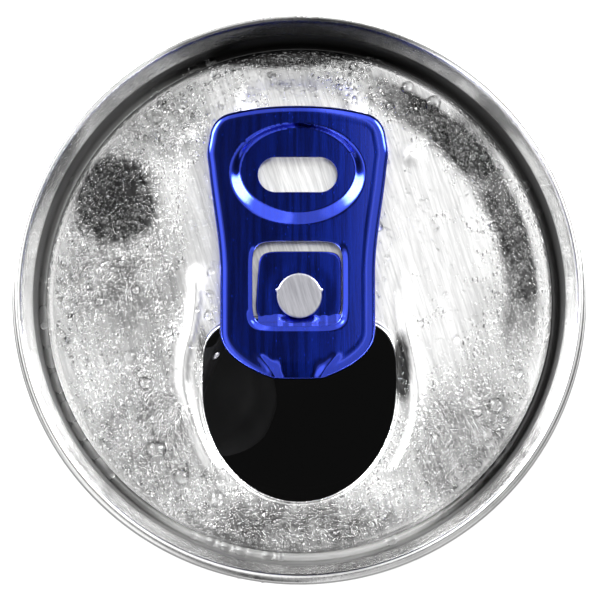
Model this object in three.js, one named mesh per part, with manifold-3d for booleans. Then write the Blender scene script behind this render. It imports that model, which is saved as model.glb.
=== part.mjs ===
// A slim aluminium drink can, opened: drawn body, seamed end with its mouth torn open, and pull tab.
// Millimetres, +Z up. The origin is on the can's axis at the plane of its foot.
import * as THREE from 'three';
import { mergeVertices } from 'three/addons/utils/BufferGeometryUtils.js';
import Module from 'manifold-3d';

const wasm = await Module();
wasm.setup();

// Driving dimensions of the body.
const CAN_HEIGHT = 134;
const BODY_RADIUS = 26.5;
const BODY_SHEET = 0.3;
const FOOT_INNER_RADIUS = 19.9;
const FOOT_OUTER_RADIUS = 20.9;
const DOME_DEPTH = 9.6;
const DOME_POWER = 2.2;
const DOME_EDGE_RADIUS = 19;
const DOME_EDGE_Z = 1.4;
const DOME_FOOT_PULL = 19.4;
const HEEL_HEIGHT = 10;
const HEEL_FOOT_PULL = [22.9, 1];
const HEEL_WALL_PULL = 5.5;
const NECK_RADIUS = 24.95;
const NECK_START_Z = 118.5;
const NECK_END_Z = 129.5;
const DOME_STEPS = 6;
const HEEL_STEPS = 4;
const NECK_STEPS = 7;

// Driving dimensions of the end.
const END_SHEET = 0.3;
const SEAM_RADIUS = 25.4;
const SEAM_HEIGHT = 2.5;
const SEAM_INNER_RADIUS = 24.25;
const SEAM_HEM = 0.2;
const SEAM_SLOT_GAP = 0.1;
const SEAM_SLOT_CLEAR = 0.65;
const CHUCK_FOOT_RADIUS = 23.78;
const PANEL_RADIUS = 22.8;
const PANEL_EDGE_ROUND = 0.5;
const PANEL_Z = CAN_HEIGHT - 4.5;
const GROOVE_Z = CAN_HEIGHT - 6.55;

// The mouth: half an ellipse in front, a squarer superellipse towards the rivet.
const MOUTH_HALF_WIDTH = 8.7;
const MOUTH_CENTRE_Y = -8.3;
const MOUTH_FRONT = 10;
const MOUTH_BACK = 6.45;
const MOUTH_BACK_POWER = 4.2;
const MOUTH_POINTS = 56;

// The torn panel, hanging inside from the mouth's left edge.
const TEAR_LENGTH = 14.6;
const TEAR_HINGE_LENGTH = 3.2;
const TEAR_HINGE_X = -8.95;
const TEAR_HINGE_Y = -6.1;
const TEAR_HINGE_TURN = THREE.MathUtils.degToRad(-22);
const TEAR_HALF_WIDTH = 6.6;
const TEAR_BEND_RADIUS = 1.2;
const TEAR_LEAN = THREE.MathUtils.degToRad(34);

const TEAR_HINGE_OVERLAP = 0.6;
const TEAR_SIDESTEP = 2.2;
const TEAR_OPENING = 0.3;
const TEAR_WIDEST = 0.45;
const TEAR_FULLNESS = 1.22;
const TEAR_TIP_SHARE = 0.2;

// The pressed forms of the panel.
const WELL_CENTRE_Y = 15.9;
const WELL_HALF_WIDTH = 4.2;
const WELL_HALF_DEPTH = 3.1;
const WELL_CORNER = 1.6;
const WELL_DEPTH = 0.7;
const WELL_SLOPE = 1.8;
const BEAD_HALF_WIDTH = 0.55;
const BEAD_HEIGHT = 0.35;
const BEAD_PATH = [
  [9.4, 3.6], [9.35, 0.2], [9.7, -2.7], [10.4, -5.8], [10.75, -9], [10.3, -12], [9.3, -14.4], [8, -16.3],
];
const BEAD_STEPS = 14;
const BEAD_SIDES = 8;
const DIMPLE_RADIUS = 0.75;
const DIMPLE_HEIGHT = 0.28;
const DIMPLES = [[-10.2, 14.66], [10.2, 13.02]];
const DIMPLE_SIDES = 12;

// The rivet that holds the tab.
const RIVET_Y = 0.17;
const RIVET_STEM_RADIUS = 1.45;
const RIVET_HEAD_RADIUS = 2.05;
const RIVET_HEAD_Z = PANEL_Z + 0.62;
const RIVET_HEAD_THICKNESS = 0.42;
const RIVET_EDGE = 0.12;
const RIVET_SIDES = 24;

// The pull tab and the tongue that the rivet clamps.
const TAB_X = -0.15;
const TAB_SHEET = 0.35;
const TAB_BOTTOM_Z = PANEL_Z + 0.3;
const TAB_THICKNESS = 1.2;
const TAB_EDGE_ROUND = 0.42;
const TAB_RIM = 1.3;
const HEEL_Y = 17.5;
const HEEL_CORNER_Y = 16.85;
const HEEL_CORNER_X = 6;
const HEEL_CORNER_PULL = { in: 0.8, high: 16.6, low: 15.6 };
const HEEL_SIDE_Y = 13.6;
const HEEL_SIDE_PULL_Y = 10;
const HEEL_HALF_WIDTH = 8.15;
const WAIST_Y = 2;
const WAIST_PULL_Y = 6;
const WAIST_HALF_WIDTH = 7;
const NOSE_SIDE_Y = -3.1;
const NOSE_SIDE_PULL_Y = -5;
const NOSE_PULL = [4.9, -6.4];
const NOSE_HALF_WIDTH = 2.2;
const NOSE_Y = -7.4;
const DISH_Y = 11.2;
const DISH_HALF_WIDTH = 6.1;
const DISH_HALF_LENGTH = 4.65;
const DISH_WALL = 0.72;
const DISH_DEPTH = 0.72;
const SLOT_HALF_WIDTH = 3.6;
const SLOT_RADIUS = 1.6;
const WINDOW = { left: -4.05, right: 4.1, front: -2.6, back: 5.05, corner: 1.35 };
const TONGUE = { left: -3.7, right: 3.75, front: -2.3, back: 4.2, corner: 1.1 };
const TONGUE_Z = PANEL_Z + 0.15;
const TONGUE_RAMP = 0.4;
const TONGUE_STEM_GAP = 0.2;

// How finely round forms are divided, how far cutters run past what they cut, and weld distances.
const SEGMENTS = 56;
const SHOULDER_STEPS = 2;
const GROOVE_STEPS = 4;
const SEAM_STEPS = 6;
const EDGE_STEPS = 2;
const CURVE_STEPS = 10;
const SMALL_CURVE_STEPS = 6;
const DISH_STEPS = 16;
const CUT_MARGIN = 3;
const OVERLAP = 0.01;
const WELD = 1e-4;

const MATERIALS = {
  body: { color: 0xc9cbce, roughness: 0.3, metalness: 1 },
  end: { color: 0xd6d5d3, roughness: 0.34, metalness: 1 },
  tab: { color: 0x1630c8, roughness: 0.26, metalness: 0.9 },
};

/** Six times the signed volume of an indexed mesh, positive where its faces point out. */
function signedVolume(positions, indices) {
  const corner = [new THREE.Vector3(), new THREE.Vector3(), new THREE.Vector3()];
  let total = 0;
  for (let i = 0; i < indices.length; i += 3) {
    corner.forEach((point, k) => point.fromArray(positions, 3 * indices[i + k]));
    total += corner[0].dot(corner[1].clone().cross(corner[2]));
  }
  return total;
}

/** A closed geometry as a solid: vertices merged, flat slivers dropped, faces turned out. */
function solid(geometry) {
  const bare = geometry.clone();
  bare.deleteAttribute('normal');
  bare.deleteAttribute('uv');
  const merged = mergeVertices(bare, WELD);
  const positions = merged.attributes.position.array;
  const kept = [];
  for (let i = 0; i < merged.index.count; i += 3) {
    const [a, b, c] = [0, 1, 2].map((k) => merged.index.getX(i + k));
    if (a !== b && b !== c && c !== a) kept.push(a, b, c);
  }
  if (signedVolume(positions, kept) < 0) kept.reverse();
  return new wasm.Manifold(new wasm.Mesh({
    numProp: 3,
    vertProperties: new Float32Array(positions),
    triVerts: new Uint32Array(kept),
  }));
}

/** A finished solid as a named mesh with its own material. */
function part(name, shape, material) {
  const { vertProperties, triVerts } = shape.getMesh();
  const geometry = new THREE.BufferGeometry();
  geometry.setAttribute('position', new THREE.BufferAttribute(vertProperties, 3));
  geometry.setIndex(new THREE.BufferAttribute(triVerts, 1));
  geometry.computeVertexNormals();
  const mesh = new THREE.Mesh(geometry, new THREE.MeshStandardMaterial(material));
  mesh.name = name;
  return mesh;
}

/** Moves every vertex of a geometry to move(point), and gives the geometry back. */
function warp(geometry, move) {
  const position = geometry.attributes.position;
  const point = new THREE.Vector3();
  for (let i = 0; i < position.count; i += 1) {
    move(point.fromBufferAttribute(position, i));
    position.setXYZ(i, point.x, point.y, point.z);
  }
  return geometry;
}

/** A solid of revolution about the Z axis, from [radius, z] pairs that start and end on the axis. */
function turned(profile, segments = SEGMENTS) {
  const points = profile.map(([radius, z]) => new THREE.Vector2(radius, z));
  return solid(new THREE.LatheGeometry(points, segments).rotateX(Math.PI / 2));
}

/** A prism of an outline between two heights, its edges rounded inwards by edge where that is given. */
function prism(shape, low, high, edge = 0, curveSegments = CURVE_STEPS) {
  const geometry = new THREE.ExtrudeGeometry(shape, {
    depth: high - low - 2 * edge,
    curveSegments,
    bevelEnabled: edge > 0,
    bevelThickness: edge,
    bevelSize: edge,
    bevelOffset: -edge,
    bevelSegments: EDGE_STEPS,
  });
  return solid(geometry.translate(0, 0, low + edge));
}

/** A tapered prism: the outline at the low height, grown by slope on every side at the high one. */
function flared(shape, low, high, slope, curveSegments = CURVE_STEPS) {
  const run = high - low;
  const geometry = new THREE.ExtrudeGeometry(shape, {
    depth: run,
    curveSegments,
    bevelEnabled: true,
    bevelThickness: run,
    bevelSize: slope,
    bevelSegments: 1,
  });
  const block = solid(geometry.translate(0, 0, high));
  const size = 2 * BODY_RADIUS;
  const lid = new THREE.BoxGeometry(size, size, run).translate(0, 0, low + run / 2);
  return block.intersect(solid(lid));
}

/** A rectangle from (left, front) to (right, back) with rounded corners. */
function roundedRectangle({ left, right, front, back, corner }) {
  const shape = new THREE.Shape();
  shape.moveTo(right - corner, front);
  shape.absarc(right - corner, front + corner, corner, -Math.PI / 2, 0);
  shape.absarc(right - corner, back - corner, corner, 0, Math.PI / 2);
  shape.absarc(left + corner, back - corner, corner, Math.PI / 2, Math.PI);
  shape.absarc(left + corner, front + corner, corner, Math.PI, 1.5 * Math.PI);
  return shape;
}

/** An ellipse as an outline. */
function ellipse(x, y, halfWidth, halfLength) {
  return new THREE.Shape().absellipse(x, y, halfWidth, halfLength, 0, 2 * Math.PI, false);
}

/** Points of a round arc in the lathe's [radius, z] plane, its angles counted from +radius towards +z. */
function arc(radius, z, size, start, end, steps) {
  return Array.from({ length: steps + 1 }, (_, i) => {
    const angle = start + ((end - start) * i) / steps;
    return [radius + size * Math.cos(angle), z + size * Math.sin(angle)];
  });
}

/** A lathe profile moved to its left by a distance, with points on the axis kept there. */
function offset(profile, distance) {
  return profile.map(([radius, z], i) => {
    const [r0, z0] = profile[Math.max(i - 1, 0)];
    const [r1, z1] = profile[Math.min(i + 1, profile.length - 1)];
    const length = Math.hypot(r1 - r0, z1 - z0);
    const across = radius > 0 ? (distance * (z0 - z1)) / length : 0;
    return [radius + across, z + (distance * (r1 - r0)) / length];
  });
}

/** The mouth's outline. */
function mouthOutline() {
  const points = [];
  for (let i = 0; i < MOUTH_POINTS; i += 1) {
    const angle = (2 * Math.PI * i) / MOUTH_POINTS;
    const back = Math.sin(angle) > 0;
    const power = back ? 2 / MOUTH_BACK_POWER : 1;
    const reach = back ? MOUTH_BACK : MOUTH_FRONT;
    const across = Math.sign(Math.cos(angle)) * Math.abs(Math.cos(angle)) ** power;
    const along = Math.sign(Math.sin(angle)) * Math.abs(Math.sin(angle)) ** power;
    points.push(new THREE.Vector2(MOUTH_HALF_WIDTH * across, MOUTH_CENTRE_Y + reach * along));
  }
  return new THREE.Shape(points);
}

/** The tab's outline, drawn inset from its true edge: round heel, waist, and short blunt nose. */
function tabOutline(inset = 0, steps = CURVE_STEPS) {
  const side = HEEL_HALF_WIDTH - inset;
  const waist = WAIST_HALF_WIDTH - inset;
  const crown = HEEL_Y - inset;
  const heelX = HEEL_CORNER_X - inset / 2;
  const corner = HEEL_CORNER_PULL;
  const [pullX, pullY] = NOSE_PULL;
  const half = new THREE.Path();
  half.moveTo(NOSE_HALF_WIDTH, NOSE_Y + inset);
  half.bezierCurveTo(pullX - inset, pullY + inset, waist, NOSE_SIDE_PULL_Y + inset / 2, waist, NOSE_SIDE_Y);
  half.lineTo(waist, WAIST_Y);
  half.bezierCurveTo(waist, WAIST_PULL_Y, side, HEEL_SIDE_PULL_Y, side, HEEL_SIDE_Y);
  half.bezierCurveTo(
    side,
    corner.low - inset,
    side - corner.in,
    corner.high - inset,
    heelX,
    HEEL_CORNER_Y - inset,
  );
  half.quadraticCurveTo(heelX / 2, crown, 0, crown);
  const right = half.getPoints(steps);
  const left = right.slice(0, -1).reverse().map(({ x, y }) => new THREE.Vector2(-x, y));
  return new THREE.Shape([...right, ...left]);
}

/** The [radius, z] points of the body's outside, from the dome's middle to the neck's top. */
function bodyProfile() {
  const pair = ([radius, z]) => new THREE.Vector2(radius, z);
  const dome = Array.from({ length: DOME_STEPS + 1 }, (_, i) => {
    const share = i / DOME_STEPS;
    return [DOME_EDGE_RADIUS * share, DOME_DEPTH - (DOME_DEPTH - DOME_EDGE_Z) * share ** DOME_POWER];
  });
  const foot = new THREE.QuadraticBezierCurve(
    pair([DOME_EDGE_RADIUS, DOME_EDGE_Z]),
    pair([DOME_FOOT_PULL, 0]),
    pair([FOOT_INNER_RADIUS, 0]),
  );
  const heel = new THREE.CubicBezierCurve(
    pair([FOOT_OUTER_RADIUS, 0]),
    pair(HEEL_FOOT_PULL),
    pair([BODY_RADIUS, HEEL_WALL_PULL]),
    pair([BODY_RADIUS, HEEL_HEIGHT]),
  );
  const neck = Array.from({ length: NECK_STEPS + 1 }, (_, i) => {
    const share = i / NECK_STEPS;
    const ease = THREE.MathUtils.smoothstep(share, 0, 1);
    const z = THREE.MathUtils.lerp(NECK_START_Z, NECK_END_Z, share);
    return [THREE.MathUtils.lerp(BODY_RADIUS, NECK_RADIUS, ease), z];
  });
  const top = [NECK_RADIUS, CAN_HEIGHT - SEAM_SLOT_CLEAR - SEAM_SLOT_GAP];
  const plain = (point) => [point.x, point.y];
  return [
    ...dome,
    ...foot.getPoints(2).slice(1).map(plain),
    ...heel.getPoints(HEEL_STEPS).map(plain),
    ...neck,
    top,
  ];
}

/** The drawn body: domed bottom on a flat foot ring, straight wall, smooth neck, open top. */
function canBody() {
  const outside = bodyProfile();
  return turned([...outside, ...offset(outside, BODY_SHEET).reverse()]);
}

/** The end before its mouth is cut: flat panel, countersink groove, chuck wall and seam. */
function endBlank() {
  const seamBottom = CAN_HEIGHT - SEAM_HEIGHT;
  const slotInner = NECK_RADIUS - BODY_SHEET - SEAM_SLOT_GAP;
  const slotOuter = NECK_RADIUS + SEAM_SLOT_GAP;
  const slotTop = CAN_HEIGHT - SEAM_SLOT_CLEAR;
  const grooveHalf = (CHUCK_FOOT_RADIUS - PANEL_RADIUS) / 2;
  const seamHalf = (SEAM_RADIUS - SEAM_INNER_RADIUS) / 2;
  const shoulder = arc(
    PANEL_RADIUS - PANEL_EDGE_ROUND,
    PANEL_Z - PANEL_EDGE_ROUND,
    PANEL_EDGE_ROUND,
    Math.PI / 2,
    0,
    SHOULDER_STEPS,
  );
  const groove = arc(
    PANEL_RADIUS + grooveHalf,
    GROOVE_Z + grooveHalf,
    grooveHalf,
    Math.PI,
    2 * Math.PI,
    GROOVE_STEPS,
  );
  const seamTop = arc(
    SEAM_RADIUS - seamHalf,
    CAN_HEIGHT - seamHalf,
    seamHalf,
    Math.PI,
    0,
    SEAM_STEPS,
  );
  const panel = [[0, PANEL_Z], ...shoulder, ...groove];
  return turned([
    ...panel,
    ...seamTop,
    [SEAM_RADIUS, seamBottom + SEAM_HEM],
    [SEAM_RADIUS - SEAM_HEM / 2, seamBottom],
    [slotOuter, seamBottom],
    [slotOuter, slotTop],
    [slotInner, slotTop],
    [slotInner, seamBottom],
    ...offset(panel, -END_SHEET).reverse(),
  ]);
}

/** A half-sunk bead of rounded section along a level path, rounded off at both ends. */
function bead(path) {
  const length = path.getLength();
  const rod = new THREE.CapsuleGeometry(1, length - 2, 2, BEAD_SIDES, BEAD_STEPS);
  return solid(warp(rod, (point) => {
    const along = THREE.MathUtils.clamp(point.y / length + 0.5, 0, 1);
    const centre = path.getPointAt(along);
    const tangent = path.getTangentAt(along);
    const across = BEAD_HALF_WIDTH * point.x;
    point.set(
      centre.x - tangent.y * across,
      centre.y + tangent.x * across,
      PANEL_Z + BEAD_HEIGHT * point.z,
    );
  }));
}

/** The two beads that run down beside the mouth and curve in round its front. */
function beads() {
  return [-1, 1].map((side) => bead(new THREE.CatmullRomCurve3(
    BEAD_PATH.map(([x, y]) => new THREE.Vector3(side * x, y, 0)),
  )));
}

/** The rivet, drawn up out of the panel and headed over the tongue. */
function rivet() {
  const top = RIVET_HEAD_Z + RIVET_HEAD_THICKNESS;
  return turned([
    [0, PANEL_Z - END_SHEET / 2],
    [RIVET_STEM_RADIUS, PANEL_Z - END_SHEET / 2],
    [RIVET_STEM_RADIUS, RIVET_HEAD_Z],
    [RIVET_HEAD_RADIUS, RIVET_HEAD_Z],
    [RIVET_HEAD_RADIUS, top - RIVET_EDGE],
    [RIVET_HEAD_RADIUS - RIVET_EDGE, top],
    [0, top],
  ], RIVET_SIDES).translate(0, RIVET_Y, 0);
}

/** The torn panel: a rounded leaf that bends down at its hinge and leans in below the mouth. */
function tearPanel() {
  const leaf = new THREE.BoxGeometry(1, 1, 1, 10, 14, 1);
  const bendLength = TEAR_BEND_RADIUS * (Math.PI / 2);
  return solid(warp(leaf, (point) => {
    const share = point.y + 0.5;
    const run = share * TEAR_LENGTH;
    const away = 2 * (share - TEAR_WIDEST);
    const round = Math.sqrt(Math.max(TEAR_TIP_SHARE ** 2, 1 - away ** 2 / TEAR_FULLNESS));
    const open = THREE.MathUtils.smoothstep(share, 0, TEAR_OPENING);
    const halfWidth = THREE.MathUtils.lerp(TEAR_HINGE_LENGTH / 2, TEAR_HALF_WIDTH * round, open);
    const thick = point.z * END_SHEET;
    const turn = Math.min(run / TEAR_BEND_RADIUS, Math.PI / 2);
    const rest = Math.max(0, run - bendLength);
    const lean = TEAR_LEAN * (rest / (TEAR_LENGTH - bendLength));
    const out = TEAR_BEND_RADIUS * Math.sin(turn) + rest * Math.sin(lean);
    const down = TEAR_BEND_RADIUS * (1 - Math.cos(turn)) + rest * Math.cos(lean);
    const facing = turn - lean;
    const wide = point.x * 2 * halfWidth - TEAR_SIDESTEP * share;
    const across = out - TEAR_HINGE_OVERLAP + thick * Math.sin(facing);
    point.set(
      TEAR_HINGE_X + across * Math.cos(TEAR_HINGE_TURN) - wide * Math.sin(TEAR_HINGE_TURN),
      TEAR_HINGE_Y + across * Math.sin(TEAR_HINGE_TURN) + wide * Math.cos(TEAR_HINGE_TURN),
      PANEL_Z - END_SHEET / 2 - down + thick * Math.cos(facing),
    );
  }));
}

/** The whole end: blank, finger well, beads, dimples, mouth, torn panel and rivet. */
function canEnd() {
  const wellFloor = roundedRectangle({
    left: -WELL_HALF_WIDTH,
    right: WELL_HALF_WIDTH,
    front: WELL_CENTRE_Y - WELL_HALF_DEPTH,
    back: WELL_CENTRE_Y + WELL_HALF_DEPTH,
    corner: WELL_CORNER,
  });
  const wellBack = flared(
    wellFloor,
    PANEL_Z - WELL_DEPTH - END_SHEET,
    PANEL_Z - END_SHEET / 2,
    WELL_SLOPE,
    SMALL_CURVE_STEPS,
  );
  const well = flared(wellFloor, PANEL_Z - WELL_DEPTH, PANEL_Z + OVERLAP, WELL_SLOPE, SMALL_CURVE_STEPS);
  let end = endBlank().add(wellBack).subtract(well);
  for (const ridge of beads()) end = end.add(ridge);
  for (const [x, y] of DIMPLES) {
    const button = new THREE.SphereGeometry(DIMPLE_RADIUS, DIMPLE_SIDES, DIMPLE_SIDES / 2);
    button.rotateX(Math.PI / 2);
    button.scale(1, 1, DIMPLE_HEIGHT / DIMPLE_RADIUS).translate(x, y, PANEL_Z);
    end = end.add(solid(button));
  }
  const mouth = prism(mouthOutline(), PANEL_Z - CUT_MARGIN, PANEL_Z + CUT_MARGIN);
  return end.subtract(mouth).add(tearPanel()).add(rivet());
}

/** The tongue: a plate under the rivet's head, turned up along the line where the tab bends. */
function tabTongue() {
  const { left, right, front, back } = TONGUE;
  const side = new THREE.Shape([
    new THREE.Vector2(back, TONGUE_Z),
    new THREE.Vector2(back, TONGUE_Z + TAB_SHEET),
    new THREE.Vector2(front + TONGUE_RAMP, TONGUE_Z + TAB_SHEET),
    new THREE.Vector2(front, TONGUE_Z + TAB_SHEET + TONGUE_RAMP),
    new THREE.Vector2(front, TONGUE_Z + TONGUE_RAMP),
    new THREE.Vector2(front + TONGUE_RAMP, TONGUE_Z),
  ]);
  const strip = new THREE.ExtrudeGeometry(side, { depth: right - left, bevelEnabled: false });
  strip.rotateX(Math.PI / 2).rotateZ(Math.PI / 2).translate(left, 0, 0);
  const plan = new THREE.Shape();
  plan.moveTo(left, front - CUT_MARGIN);
  plan.lineTo(right, front - CUT_MARGIN);
  plan.absarc(right - TONGUE.corner, back - TONGUE.corner, TONGUE.corner, 0, Math.PI / 2);
  plan.absarc(left + TONGUE.corner, back - TONGUE.corner, TONGUE.corner, Math.PI / 2, Math.PI);
  const reach = RIVET_STEM_RADIUS + TONGUE_STEM_GAP;
  const outline = prism(plan, TONGUE_Z - CUT_MARGIN, TONGUE_Z + CUT_MARGIN);
  const bore = ellipse(0, RIVET_Y, reach, reach);
  const hole = prism(bore, TONGUE_Z - CUT_MARGIN, TONGUE_Z + CUT_MARGIN, 0, RIVET_SIDES / 2);
  return solid(strip).intersect(outline).subtract(hole);
}

/** The pull tab: rolled rim, thin web, dished heel with a plain slot, and the tongue's window. */
function pullTab() {
  const low = TAB_BOTTOM_Z;
  const high = TAB_BOTTOM_Z + TAB_THICKNESS;
  const slab = prism(tabOutline(), low, high, TAB_EDGE_ROUND);
  const pocket = prism(tabOutline(TAB_RIM), low - CUT_MARGIN, high - TAB_SHEET);
  const floor = ellipse(0, DISH_Y, DISH_HALF_WIDTH - DISH_WALL, DISH_HALF_LENGTH - DISH_WALL);
  const panTop = high - TAB_SHEET / 2;
  const pan = flared(floor, high - DISH_DEPTH - TAB_SHEET, panTop, DISH_WALL, DISH_STEPS);
  const dish = flared(floor, high - DISH_DEPTH, high + OVERLAP, DISH_WALL, DISH_STEPS);
  const slotOutline = roundedRectangle({
    left: -SLOT_HALF_WIDTH,
    right: SLOT_HALF_WIDTH,
    front: DISH_Y - SLOT_RADIUS,
    back: DISH_Y + SLOT_RADIUS,
    corner: SLOT_RADIUS - OVERLAP,
  });
  const slot = prism(slotOutline, low - CUT_MARGIN, high + CUT_MARGIN, 0, SMALL_CURVE_STEPS);
  const windowOutline = roundedRectangle(WINDOW);
  const window = prism(windowOutline, low - CUT_MARGIN, high + CUT_MARGIN, 0, SMALL_CURVE_STEPS);
  const body = slab.subtract(pocket).add(pan).subtract(dish).subtract(slot);
  return body.translate(TAB_X, 0, 0).subtract(window);
}

const can = new THREE.Group();
can.add(part('can_body', canBody(), MATERIALS.body));
can.add(part('can_end', canEnd(), MATERIALS.end));
can.add(part('tab_tongue', tabTongue(), MATERIALS.tab));
can.add(part('pull_tab', pullTab(), MATERIALS.tab));

export default can;
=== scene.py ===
"""Dresses the opened slim drink can: bare rolled end, blue pull tab, drawn body and condensation.

Every shape is worked out in millimetres in the frame's own axes and put into its mesh in metres.
"""

import logging
import math
from collections.abc import Callable
from dataclasses import dataclass, field
from enum import Enum

import bmesh
import bpy
import numpy as np
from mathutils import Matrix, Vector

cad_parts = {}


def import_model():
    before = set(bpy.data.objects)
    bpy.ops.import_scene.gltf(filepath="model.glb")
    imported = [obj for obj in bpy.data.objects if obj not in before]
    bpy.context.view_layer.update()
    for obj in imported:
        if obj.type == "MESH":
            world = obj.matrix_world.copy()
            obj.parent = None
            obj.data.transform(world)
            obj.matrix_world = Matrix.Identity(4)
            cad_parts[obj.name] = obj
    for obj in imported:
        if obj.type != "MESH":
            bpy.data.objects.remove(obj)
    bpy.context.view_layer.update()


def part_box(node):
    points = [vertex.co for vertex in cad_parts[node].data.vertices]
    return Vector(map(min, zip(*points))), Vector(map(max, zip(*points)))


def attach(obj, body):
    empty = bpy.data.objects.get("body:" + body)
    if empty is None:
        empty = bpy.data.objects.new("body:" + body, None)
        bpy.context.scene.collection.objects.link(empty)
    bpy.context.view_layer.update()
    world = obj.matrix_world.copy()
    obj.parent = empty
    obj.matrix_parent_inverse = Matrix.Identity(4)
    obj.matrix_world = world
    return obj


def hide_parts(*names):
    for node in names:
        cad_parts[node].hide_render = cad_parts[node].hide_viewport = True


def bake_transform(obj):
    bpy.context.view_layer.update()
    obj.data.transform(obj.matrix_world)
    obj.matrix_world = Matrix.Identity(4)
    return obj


LOG = logging.getLogger("drink_can")
MM = 0.001
PHOTO_SIDE_PX = 600
SENSOR_MM = 36.0
TAU = 2 * math.pi
WHITE = (1.0, 1.0, 1.0, 1.0)
# How far a drop's outline and its foot lie under the surface, in millimetres.
DROP_SINK = 0.01
DROP_FOOT = 0.03


class Body(str, Enum):
    """The moving bodies of the frame."""

    CAN = "can"
    TAB = "tab"


class Slot(str, Enum):
    """Names for material slots; no piece is given them."""

    BODY = "body_aluminium"
    END = "end_aluminium"
    TAB = "tab_lacquer"
    WATER = "water"


# Curves and profiles.


def smooth_step(value: np.ndarray, low: float, high: float) -> np.ndarray:
    """Rise from 0 at low to 1 at high along 3t^2 - 2t^3.

    Args:
        value: the numbers to map.
        low: where the rise starts.
        high: where it ends.

    Returns:
        The eased numbers.
    """
    t = np.clip((value - low) / (high - low), 0.0, 1.0)
    return t * t * (3 - 2 * t)


def round_steps(count: int) -> np.ndarray:
    """Angles of even steps once round."""
    return np.linspace(0, TAU, count, endpoint=False)


def unit(vectors: np.ndarray) -> np.ndarray:
    """Vectors brought to a length of 1, one a row."""
    return vectors / np.linalg.norm(vectors, axis=1, keepdims=True)


def bump(distance: np.ndarray, width: float) -> np.ndarray:
    """A bell of height 1: e to the power of -(distance / width)^2."""
    return np.exp(-((distance / width) ** 2))


def through(points: list, per_span: int) -> np.ndarray:
    """A Catmull-Rom curve through points, so each span is a cubic with matched slopes.

    Args:
        points: rows of coordinates, at least two.
        per_span: how many points each span gets.

    Returns:
        The curve's points, both ends among them.
    """
    p = np.asarray(points, float)
    padded = np.vstack([2 * p[0] - p[1], p, 2 * p[-1] - p[-2]])
    t = np.linspace(0, 1, per_span, endpoint=False)[:, None, None]
    a, b, c, d = (padded[i:len(p) - 1 + i][None] for i in range(4))
    spans = 0.5 * (2 * b + (c - a) * t + (2 * a - 5 * b + 4 * c - d) * t**2
                   + (3 * b - a - 3 * c + d) * t**3)
    run = spans.transpose(1, 0, 2).reshape(-1, p.shape[1])
    return np.vstack([run, p[-1]])


def bezier(start: tuple, pull_a: tuple, pull_b: tuple, end: tuple, count: int) -> np.ndarray:
    """A cubic Bezier curve without its last point.

    Args:
        start: first point.
        pull_a: first control point.
        pull_b: second control point.
        end: last point, left out.
        count: how many points.

    Returns:
        count rows of (x, y).
    """
    t = np.linspace(0, 1, count, endpoint=False)[:, None]
    a, b, c, d = (np.asarray(v, float)[None] for v in (start, pull_a, pull_b, end))
    return a * (1 - t) ** 3 + 3 * b * t * (1 - t) ** 2 + 3 * c * t**2 * (1 - t) + d * t**3


def even_loop(points: np.ndarray, count: int) -> np.ndarray:
    """A closed loop resampled to points that lie evenly along its length.

    Args:
        points: rows of (x, y) round the loop.
        count: how many points to give back.

    Returns:
        count rows of (x, y).
    """
    closed = np.vstack([points, points[:1]])
    run = np.concatenate([[0], np.cumsum(np.linalg.norm(np.diff(closed, axis=0), axis=1))])
    at = np.linspace(0, run[-1], count, endpoint=False)
    return np.stack([np.interp(at, run, closed[:, k]) for k in range(2)], axis=1)


def outward(loop: np.ndarray) -> np.ndarray:
    """Unit normals of a counter-clockwise loop: its tangent turned a quarter clockwise."""
    tangent = unit(np.roll(loop, -1, axis=0) - np.roll(loop, 1, axis=0))
    return np.stack([tangent[:, 1], -tangent[:, 0]], axis=1)


def oval_reach(direction: np.ndarray, half_x: float, half_y: float, power: float) -> np.ndarray:
    """How far a superellipse reaches: (|cos/a|^n + |sin/b|^n)^(-1/n).

    Args:
        direction: unit vectors, one a row.
        half_x: half its width.
        half_y: half its length.
        power: n, 2 for an ellipse and more for a squarer outline.

    Returns:
        The reach in each direction.
    """
    x = np.abs(direction[:, 0]) / half_x
    y = np.abs(direction[:, 1]) / half_y
    return (x**power + y**power) ** (-1 / power)


def path_distance(x: np.ndarray, y: np.ndarray, path: np.ndarray,
                  within: float = 6.0) -> tuple[np.ndarray, np.ndarray]:
    """Distance from points to the nearest of a path's points, and how far along that one is.

    Args:
        x: x of the points, of any shape.
        y: y of the points.
        path: rows of (x, y).
        within: points farther than this from the path's mean x count as endlessly far.

    Returns:
        The distances, and the shares from 0 to 1 along the path.
    """
    flat = np.stack([x.ravel(), y.ravel()], axis=1)
    best = np.full(len(flat), np.inf)
    share = np.zeros(len(flat))
    near = np.abs(flat[:, 0] - path[:, 0].mean()) < within
    gap = np.linalg.norm(flat[near][:, None] - path[None], axis=2)
    best[near] = gap.min(axis=1)
    share[near] = gap.argmin(axis=1) / (len(path) - 1)
    return best.reshape(x.shape), share.reshape(x.shape)


# Meshes from arrays.


def grid_quads(rows: int, columns: int, closed: bool = False) -> np.ndarray:
    """The quads of a grid whose vertices are numbered row by row, each row closed round.

    Args:
        rows: how many rows of vertices.
        columns: how many vertices a row.
        closed: whether the last row joins the first.

    Returns:
        Rows of four vertex numbers.
    """
    i = np.arange(rows if closed else rows - 1)[:, None]
    j = np.arange(columns)[None]
    i2, j2 = (i + 1) % rows, (j + 1) % columns
    quads = np.stack([i * columns + j, i * columns + j2, i2 * columns + j2, i2 * columns + j], axis=-1)
    return quads.reshape(-1, 4)


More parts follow.
